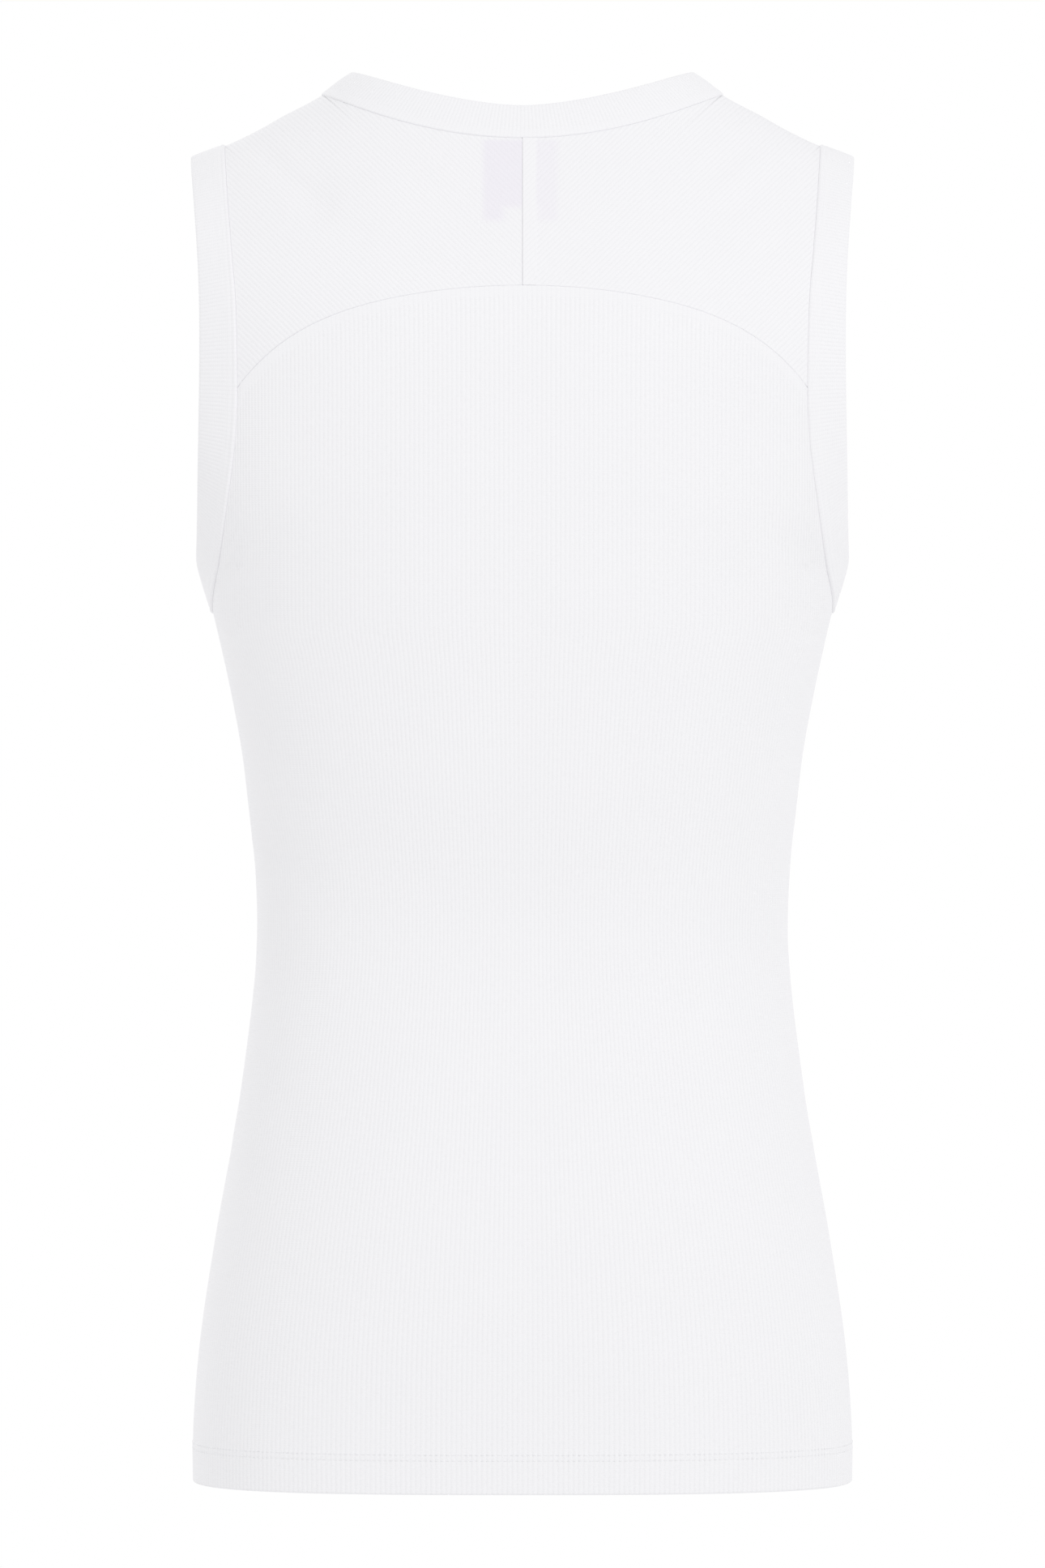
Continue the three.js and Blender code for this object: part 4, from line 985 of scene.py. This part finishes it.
# The blank label inside the yoke
LABEL_X = 1.9
LABEL_WIDTH = 40
LABEL_TOP = 688.5
LABEL_DROP = 38
LABEL_THICKNESS = 1
LABEL_GAP = 0.7
LABEL_STEPS = 61
LABEL_GROOVE = 0.25  # how deep a groove runs along its edges,
LABEL_GROOVE_IN = 2  # how far in from them
LABEL_GROOVE_WIDTH = 0.6
LABEL_BACK_SHARE = 0.6  # and how much of it there is on the side towards the yoke
# The label's show-through is painted shade in the yoke's colour, over the patch given below
LABEL_SEEN_X = 1.1  # what shows through the yoke is a little less than the label: its middle,
LABEL_SEEN_HALF = 19  # half its width,
LABEL_SEEN_DROP = 34.6  # and how far down it reaches
LABEL_EDGE = 7  # its two sides show through further down, by this much and over this width
LABEL_SOFT = 2.5
LABEL_FAINT = 0.6
LABEL_STRENGTH = 0.45
SEAM_BLUR = 0.2
STRIP_EDGE_BLUR = 1


def make_label():
    """A strip that keeps LABEL_GAP from the yoke's inner face, with a groove along its edges, which goes
    with exp(-((edge - in) / width) ^ 2)."""
    across = np.linspace(-1, 1, LABEL_STEPS)
    down = np.linspace(0, 1, LABEL_STEPS)[:, None]
    x = LABEL_X - across * LABEL_WIDTH / 2 + 0 * down
    height = LABEL_TOP - LABEL_DROP * (1 - down) + 0 * x
    face = face_at(BACK, x, height)
    edge = np.minimum((1 - np.abs(across)) * LABEL_WIDTH / 2, np.minimum(down, 1 - down) * LABEL_DROP)
    groove = LABEL_GROOVE * np.exp(-(((edge - LABEL_GROOVE_IN) / LABEL_GROOVE_WIDTH) ** 2))
    hollow = groove + round_in(edge, EDGE_ROUND)
    outer = -WALL - LABEL_GAP - LABEL_BACK_SHARE * hollow
    inner = -WALL - LABEL_GAP - LABEL_THICKNESS + hollow
    shell = Shell()
    cloth = (x, height)
    shell.wall(shell.add(face.at(outer), cloth), shell.add(face.at(inner), cloth), every=1)
    return shell


# Stitches
STITCH_PITCH = 2.9
STITCH_LENGTH = 2.3
STITCH_RADIUS = 0.19
STITCH_SINK = 0.22
STITCH_STEPS = np.array((-1, -0.85, -0.4, 0.4, 0.85, 1))
STITCH_SIDES = 6
TANGENT_STEP = 0.5
HEM_STITCH_OUT = HEM_RISE - STITCH_DIP + 0.04  # how far out the middles of the threads lie
BAND_STITCH_OUT = BAND_RISE - 0.05


def add_stitches(shell, path, out):
    """Small threads along a line of points: each is a tapered rod of six sides, with the radius
    STITCH_RADIUS (1 - s ^ 4) ^ 0.5 and its ends sunk into the cloth by s ^ 2, where s goes from -1 to 1."""
    run = run_of(path)
    count = int(run[-1] / STITCH_PITCH)
    centres = (np.arange(count) + 0.5) * run[-1] / count

    def value(table, where):
        return np.stack([np.interp(where, run, table[:, axis]) for axis in range(3)], axis=1)

    tangent = unit(value(path, centres + TANGENT_STEP) - value(path, centres - TANGENT_STEP))
    normal = value(out, centres)
    normal = unit(normal - tangent * (normal * tangent).sum(axis=1, keepdims=True))
    directions = (value(path, centres), tangent, normal, np.cross(tangent, normal))
    middle, tangent, normal, aside = (each[:, None, None, :] for each in directions)
    s = STITCH_STEPS[:, None]
    angle = np.linspace(0, 2 * math.pi, STITCH_SIDES + 1)[None, :]
    radius = STITCH_RADIUS * np.sqrt(np.maximum(1 - s**4, 0))
    lengthways = (s * STITCH_LENGTH / 2 + 0 * angle)[..., None]
    outwards = (radius * np.cos(angle) - STITCH_SINK * s**2)[..., None]
    sideways = (radius * np.sin(angle))[..., None]
    points = middle + lengthways * tangent + outwards * normal + sideways * aside
    cloth = (np.broadcast_to(angle, points.shape[:-1]), s * STITCH_LENGTH)
    shell.face(shell.add(points, cloth))


def make_hem_stitches(side):
    shell = Shell()
    columns = Columns(side, (0, share_of(side, CORNER_X), 1))
    for row in HEM_ROWS_OF_STITCHES:
        face = columns.face(np.full((1, len(columns.share)), row))
        add_stitches(shell, face.at(HEM_STITCH_OUT)[0], face.out[0])
    return shell


def make_band_stitches(band, stitch_row):
    shell = Shell()
    path = band.at(stitch_row - ALLOWANCE_END / 2, BAND_STITCH_OUT)
    closed = [np.concatenate((each, each[:1])) for each in (path, band.foot_out)]
    add_stitches(shell, *closed)
    return shell


# Materials
# Colours, and how far each thing lightens the cloth from its dark colour to its light one. The crest and
# loop shares are painted shade, darker in the rib valleys and the loop hollows; the cloud is the cloth's
# uneven tone.
COTTON_LIGHT = (0.907, 0.904, 0.922, 1)
COTTON_DARK = (0.862, 0.859, 0.88, 1)
THREAD_LIGHT = (0.91, 0.91, 0.92, 1)
THREAD_DARK = (0.83, 0.83, 0.85, 1)
TAPE_LIGHT = (0.85, 0.84, 0.89, 1)
TAPE_DARK = (0.74, 0.72, 0.8, 1)
PAINTED_LABEL_TINT = (0.82, 0.78, 0.87, 1)
VALLEY_SHADE, CREST_SHADE, CLOUD_SHADE, LOOP_SHADE = 0.2, 0.45, 0.3, 0.1
CREST_STEEP = 4
FUZZ_RISE = 0.35  # against the knitted loops
THREAD_TWIST = 9
TAPE_THREAD_PITCH = 0.5
BODY_COURSE, BAND_COURSE = 1.15, 1.05  # millimetres from one row of knitted loops to the next


def feed(tree, sockets, given):
    """Links each named socket to what it is given, or sets it where that is a number or a colour."""
    for label, value in given.items():
        if isinstance(value, bpy.types.NodeSocket):
            tree.links.new(value, sockets[label])
        else:
            sockets[label].default_value = value


def add_node(tree, kind, given=None, **settings):
    """A new node with its settings, whose inputs are fed with what they are given."""
    node = tree.nodes.new(kind)
    for name, value in settings.items():
        setattr(node, name, value)
    feed(tree, node.inputs, given or {})
    return node


def sum_of(tree, operation, *operands):
    """A Math node, whose operands are sockets or numbers."""
    return add_node(tree, "ShaderNodeMath", dict(enumerate(operands)), operation=operation).outputs[0]


def ramp_of(tree, value, low, high, low_value, high_value):
    """A smooth step of a value, from low_value at low to high_value at high."""
    given = {
        "Value": value, "From Min": low, "From Max": high, "To Min": low_value, "To Max": high_value,
    }
    return add_node(tree, "ShaderNodeMapRange", given, interpolation_type="SMOOTHSTEP").outputs["Result"]


def mix_colours(tree, share, first, second):
    node = add_node(tree, "ShaderNodeMix", {"Factor": share}, data_type="RGBA")
    sockets = {socket.name: socket for socket in node.inputs if socket.type == "RGBA"}
    feed(tree, sockets, {"A": first, "B": second})
    return next(socket for socket in node.outputs if socket.type == "RGBA")


def split_of(tree, vector):
    return add_node(tree, "ShaderNodeSeparateXYZ", {"Vector": vector}).outputs


def cloth_at(tree):
    """The piece's cloth coordinates."""
    return add_node(tree, "ShaderNodeUVMap", uv_map="cloth").outputs["UV"]


def place_at(tree):
    return add_node(tree, "ShaderNodeTexCoord").outputs["Object"]


def bump_of(tree, height, strength, distance):
    """A normal for a height from 0 to 1, which stands for a distance in millimetres."""
    given = {"Height": height, "Strength": strength, "Distance": distance * METRES}
    return add_node(tree, "ShaderNodeBump", given).outputs["Normal"]


def new_material(name, make_look):
    """A material whose shader is fed with what make_look(tree) gives for each of its inputs."""
    material = bpy.data.materials.new(name)
    material.use_nodes = True
    tree = material.node_tree
    feed(tree, tree.nodes["Principled BSDF"].inputs, make_look(tree))
    return material


def new_group(name, inputs, outputs):
    """An empty shader group with named inputs (name, kind, value) and outputs."""
    group = bpy.data.node_groups.new(name, "ShaderNodeTree")
    for label, kind, value in inputs:
        socket = group.interface.new_socket(name=label, in_out="INPUT", socket_type=kind)
        if value is not None:
            socket.default_value = value
    for label in outputs:
        group.interface.new_socket(name=label, in_out="OUTPUT", socket_type="NodeSocketFloat")
    return group, group.nodes.new("NodeGroupInput").outputs, group.nodes.new("NodeGroupOutput").inputs


def knit_group():
    """Rows of small V shaped stitches along each rib: sin(2 pi (along / course + slope wale)), where wale
    rises from 0 in a valley to 0.5 on the crest."""
    group, given, made = new_group(
        "knit_loops",
        (
            ("Cloth", "NodeSocketVector", None),
            ("Course", "NodeSocketFloat", BODY_COURSE),
            ("Slope", "NodeSocketFloat", 0.7),
        ),
        ("Height",),
    )
    cloth = split_of(group, given["Cloth"])
    wale = sum_of(group, "PINGPONG", sum_of(group, "FRACT", cloth["X"]), 0.5)
    along = sum_of(group, "DIVIDE", cloth["Y"], given["Course"])
    leaning = sum_of(group, "MULTIPLY_ADD", wale, given["Slope"], along)
    wave = sum_of(group, "SINE", sum_of(group, "MULTIPLY", leaning, 2 * math.pi))
    feed(group, made, {"Height": sum_of(group, "MULTIPLY_ADD", wave, 0.5, 0.5)})
    return group


def fibre_group():
    """Fine fuzz and slow unevenness of spun cotton, from the object's own coordinates."""
    group, given, made = new_group(
        "cotton_fibre",
        (
            ("Position", "NodeSocketVector", None),
            ("Fuzz", "NodeSocketFloat", 2600.0),
            ("Cloud", "NodeSocketFloat", 22.0),
        ),
        ("Fuzz", "Cloud"),
    )
    for label, detail in (("Fuzz", 3), ("Cloud", 2)):
        wanted = {"Vector": given["Position"], "Scale": given[label], "Detail": detail}
        feed(group, made, {label: add_node(group, "ShaderNodeTexNoise", wanted).outputs["Fac"]})
    return group


def painted_label_shade(tree):
    """One where the label lies behind the yoke, whose show-through is painted there as a faint lilac shade.
    It fades at its edges, and it is hidden by the double cloth beside the centre seam and fainter past that."""
    place = split_of(tree, place_at(tree))

    def step(value, middle, soft, before, after):
        """From one value to another across a place in millimetres, softly to either side of it."""
        return ramp_of(tree, value, (middle - soft) * METRES, (middle + soft) * METRES, before, after)

    across, up = place["X"], place["Z"]
    aside = sum_of(tree, "ABSOLUTE", sum_of(tree, "SUBTRACT", across, LABEL_SEEN_X * METRES))
    inside = step(aside, LABEL_SEEN_HALF, LABEL_SOFT, 1, 0)
    at_side = step(aside, LABEL_SEEN_HALF - 1.5 * LABEL_EDGE, LABEL_EDGE / 2, 0, 1)
    foot = LABEL_TOP - LABEL_SEEN_DROP - CARRY_HEIGHT
    above = step(up, foot, LABEL_SOFT, 0, 1)
    side_above = step(up, foot - LABEL_EDGE, LABEL_SOFT, 0, 1)
    below = step(up, LABEL_TOP - CARRY_HEIGHT + LABEL_SOFT / 2, LABEL_SOFT / 2, 1, 0)
    tall = sum_of(tree, "MAXIMUM", above, sum_of(tree, "MULTIPLY", at_side, side_above))
    mask = sum_of(tree, "MULTIPLY", inside, sum_of(tree, "MULTIPLY", tall, below))
    left = step(across, SEAM_BLUR, SEAM_BLUR, 0, 1)
    right = step(across, -CENTRE_ALLOWANCE, STRIP_EDGE_BLUR, LABEL_FAINT, 0)
    return sum_of(tree, "MULTIPLY", mask, sum_of(tree, "ADD", left, right))


def cotton_material(name, course, paints_label_shade=False):
    """White rib knit: loops and fuzz as bump, painted shade in the rib valleys and loop hollows, and a slow
    unevenness of colour.
    """
    def look(tree):
        cloth = cloth_at(tree)
        given = {"Cloth": cloth, "Course": course}
        loops = add_node(tree, "ShaderNodeGroup", given, node_tree=knit).outputs["Height"]
        fibres = add_node(tree, "ShaderNodeGroup", {"Position": place_at(tree)}, node_tree=fibre).outputs
        # Painted shade: the colour darkens into each rib's valley and between the knitted loops
        crest = sum_of(tree, "PINGPONG", sum_of(tree, "FRACT", split_of(tree, cloth)["X"]), 0.5)
        crest = sum_of(tree, "MINIMUM", sum_of(tree, "MULTIPLY", crest, CREST_STEEP), 1)
        shade = sum_of(tree, "MULTIPLY_ADD", crest, CREST_SHADE, VALLEY_SHADE)
        shade = sum_of(tree, "MULTIPLY_ADD", fibres["Cloud"], CLOUD_SHADE, shade)
        shade = sum_of(tree, "MULTIPLY_ADD", loops, LOOP_SHADE, shade)
        colour = mix_colours(tree, shade, COTTON_DARK, COTTON_LIGHT)
        rise = sum_of(tree, "MULTIPLY_ADD", fibres["Fuzz"], FUZZ_RISE, loops)
        # Painted shade: the label behind the yoke shows through as a faint lilac shade in its colour
        if paints_label_shade:
            mask = sum_of(tree, "MULTIPLY", painted_label_shade(tree), LABEL_STRENGTH)
            colour = mix_colours(tree, mask, colour, PAINTED_LABEL_TINT)
        return {
            "Base Color": colour,
            "Roughness": sum_of(tree, "MULTIPLY_ADD", fibres["Fuzz"], 0.12, 0.82),
            "Normal": bump_of(tree, rise, strength=0.3, distance=0.12),
            "Sheen Weight": 0.12,
            "Sheen Roughness": 0.5,
            "Specular IOR Level": 0.2,
        }

    return new_material(name, look)


def thread_look(tree):
    """Sewing thread: a fine twist along each stitch, as bump and as painted shade in its grooves."""
    cloth = split_of(tree, cloth_at(tree))
    turn = sum_of(tree, "MULTIPLY_ADD", cloth["Y"], THREAD_TWIST, cloth["X"])
    twist = sum_of(tree, "MULTIPLY_ADD", sum_of(tree, "SINE", turn), 0.5, 0.5)
    return {
        "Base Color": mix_colours(tree, twist, THREAD_DARK, THREAD_LIGHT),
        "Roughness": 0.6,
        "Normal": bump_of(tree, twist, strength=0.3, distance=0.05),
        "Specular IOR Level": 0.3,
    }


def tape_look(tree):
    """Blank woven tape: a fine plain weave as bump and as painted shade between its threads, with cloth
    coordinates in millimetres.
    """
    cloth = split_of(tree, cloth_at(tree))
    turn = 2 * math.pi / TAPE_THREAD_PITCH
    warp, weft = (sum_of(tree, "SINE", sum_of(tree, "MULTIPLY", cloth[axis], turn)) for axis in "XY")
    weave = sum_of(tree, "MULTIPLY_ADD", sum_of(tree, "MULTIPLY", warp, weft), 0.5, 0.5)
    fibres = add_node(tree, "ShaderNodeGroup", {"Position": place_at(tree)}, node_tree=fibre).outputs
    shade = sum_of(tree, "MULTIPLY_ADD", fibres["Cloud"], 0.4, sum_of(tree, "MULTIPLY", weave, 0.6))
    return {
        "Base Color": mix_colours(tree, shade, TAPE_DARK, TAPE_LIGHT),
        "Roughness": 0.55,
        "Normal": bump_of(tree, weave, strength=0.4, distance=0.08),
    }


knit = knit_group()
fibre = fibre_group()
body_cotton = cotton_material("rib_cotton_body", BODY_COURSE)
yoke_cotton = cotton_material("rib_cotton_yoke", BODY_COURSE, paints_label_shade=True)
band_cotton = cotton_material("rib_cotton_band", BAND_COURSE)
thread = new_material("sewing_thread", thread_look)
tape = new_material("woven_tape", tape_look)

# The pieces
neck_rails = neckband_rails()
arm_rails = armband_rails()
arm_shell = make_band(arm_rails, ARM_ALLOWANCE, ARMBAND_RIB_DEPTH, ARMBAND_FOOT_ROUND, ARM_RIDGES)
neck_shell = make_band(neck_rails, NECK_ALLOWANCE, NECKBAND_RIB_DEPTH, NECKBAND_FOOT_ROUND)
arm_stitches = make_band_stitches(arm_rails, ARM_ALLOWANCE)

back = make_piece("back_panel", make_back(), body_cotton, ("back",))
front = make_piece("front_panel", make_front(), body_cotton, ("front",))
yoke_left = make_piece("yoke_left_panel", make_yoke(1), yoke_cotton, ("yoke_left",))
yoke_right = make_piece("yoke_right_panel", make_yoke(-1), yoke_cotton, ("yoke_right",))
neckband = make_piece("neckband_rib", neck_shell, band_cotton, ("neckband",))
arm_left = make_piece("armband_left_rib", arm_shell, band_cotton, ("armband_left",))
arm_right = make_piece("armband_right_rib", mirrored(arm_shell), band_cotton, ("armband_right",))
label = make_piece("blank_label", make_label(), tape, ("neck_label",))
hem_back = make_piece("hem_stitches_back", make_hem_stitches(BACK), thread)
hem_front = make_piece("hem_stitches_front", make_hem_stitches(FRONT), thread)
neck_thread = make_piece("neck_stitches", make_band_stitches(neck_rails, NECK_ALLOWANCE), thread)
arm_thread_left = make_piece("arm_stitches_left", arm_stitches, thread)
arm_thread_right = make_piece("arm_stitches_right", mirrored(arm_stitches), thread)

# The floor
FLOOR_Z = -1.42
FLOOR_RADIUS = 3.2
FLOOR_STEPS = 96


def make_floor():
    """A flat disc: radius times the cosine and sine of an even turn."""
    turn = np.arange(FLOOR_STEPS) * 2 * math.pi / FLOOR_STEPS
    rim = np.stack((np.cos(turn), np.sin(turn), 0 * turn), axis=1) * FLOOR_RADIUS
    mesh = bpy.data.meshes.new("floor")
    mesh.from_pydata((rim + (0, 0, FLOOR_Z)).tolist(), [], [list(range(len(rim)))])
    floor = bpy.data.objects.new("floor", mesh)
    bpy.context.scene.collection.objects.link(floor)
    look = {"Base Color": (0.9, 0.9, 0.9, 1), "Roughness": 0.9}
    mesh.materials.append(new_material("pale_floor", lambda tree: look))


make_floor()


# Light
def set_world(seen, lit):
    """White behind the object, and a dimmer even light from all round."""
    world = bpy.data.worlds.new("studio")
    world.use_nodes = True
    tree = world.node_tree
    ray = add_node(tree, "ShaderNodeLightPath").outputs["Is Camera Ray"]
    level = add_node(tree, "ShaderNodeMapRange", {"Value": ray, "To Min": lit, "To Max": seen})
    look = {"Color": (1, 1, 1, 1), "Strength": level.outputs["Result"]}
    feed(tree, tree.nodes["Background"].inputs, look)
    bpy.context.scene.world = world


def add_light(name, place, aim, size, power):
    light = bpy.data.lights.new(name, "AREA")
    light.shape = "DISK"
    light.size = size
    light.energy = power
    lamp = bpy.data.objects.new(name, light)
    bpy.context.scene.collection.objects.link(lamp)
    lamp.location = place
    lamp.rotation_mode = "QUATERNION"
    lamp.rotation_quaternion = (Vector(place) - Vector(aim)).to_track_quat("Z", "Y")


MIDDLE = (0, 0, -0.34)
set_world(1.0, 0.872)
add_light("key", (-1.95, 2.75, 1.2), MIDDLE, 1.6, 18)
add_light("fill", (2.0, 2.5, 1.4), MIDDLE, 2.0, 6.3)
add_light("front_key", (1.8, -2.8, 1.0), MIDDLE, 1.8, 17)
add_light("front_fill", (-2.4, -1.8, 0.3), MIDDLE, 2.0, 4.5)

# The camera, straight behind, five metres from the Y = 0 plane
CAMERA_DISTANCE = 5.0
CAMERA_HEIGHT = 360
PICTURE_ROWS = 1935
PIXEL = 0.42
FRAME_HEIGHT = PICTURE_ROWS * PIXEL * METRES
SENSOR = 36
camera_data = bpy.data.cameras.new("camera")
camera = bpy.data.objects.new("camera", camera_data)
bpy.context.scene.collection.objects.link(camera)
camera.location = (0, CAMERA_DISTANCE, (CAMERA_HEIGHT - CARRY_HEIGHT) * METRES)
camera.rotation_mode = "QUATERNION"
camera.rotation_quaternion = Vector((0, 1, 0)).to_track_quat("Z", "Y")
camera_data.sensor_width = SENSOR
camera_data.lens = SENSOR * CAMERA_DISTANCE / FRAME_HEIGHT
camera_data.clip_end = 60
bpy.context.scene.camera = camera

bpy.context.scene.view_settings.view_transform = "Standard"
bpy.context.scene.view_settings.look = "None"
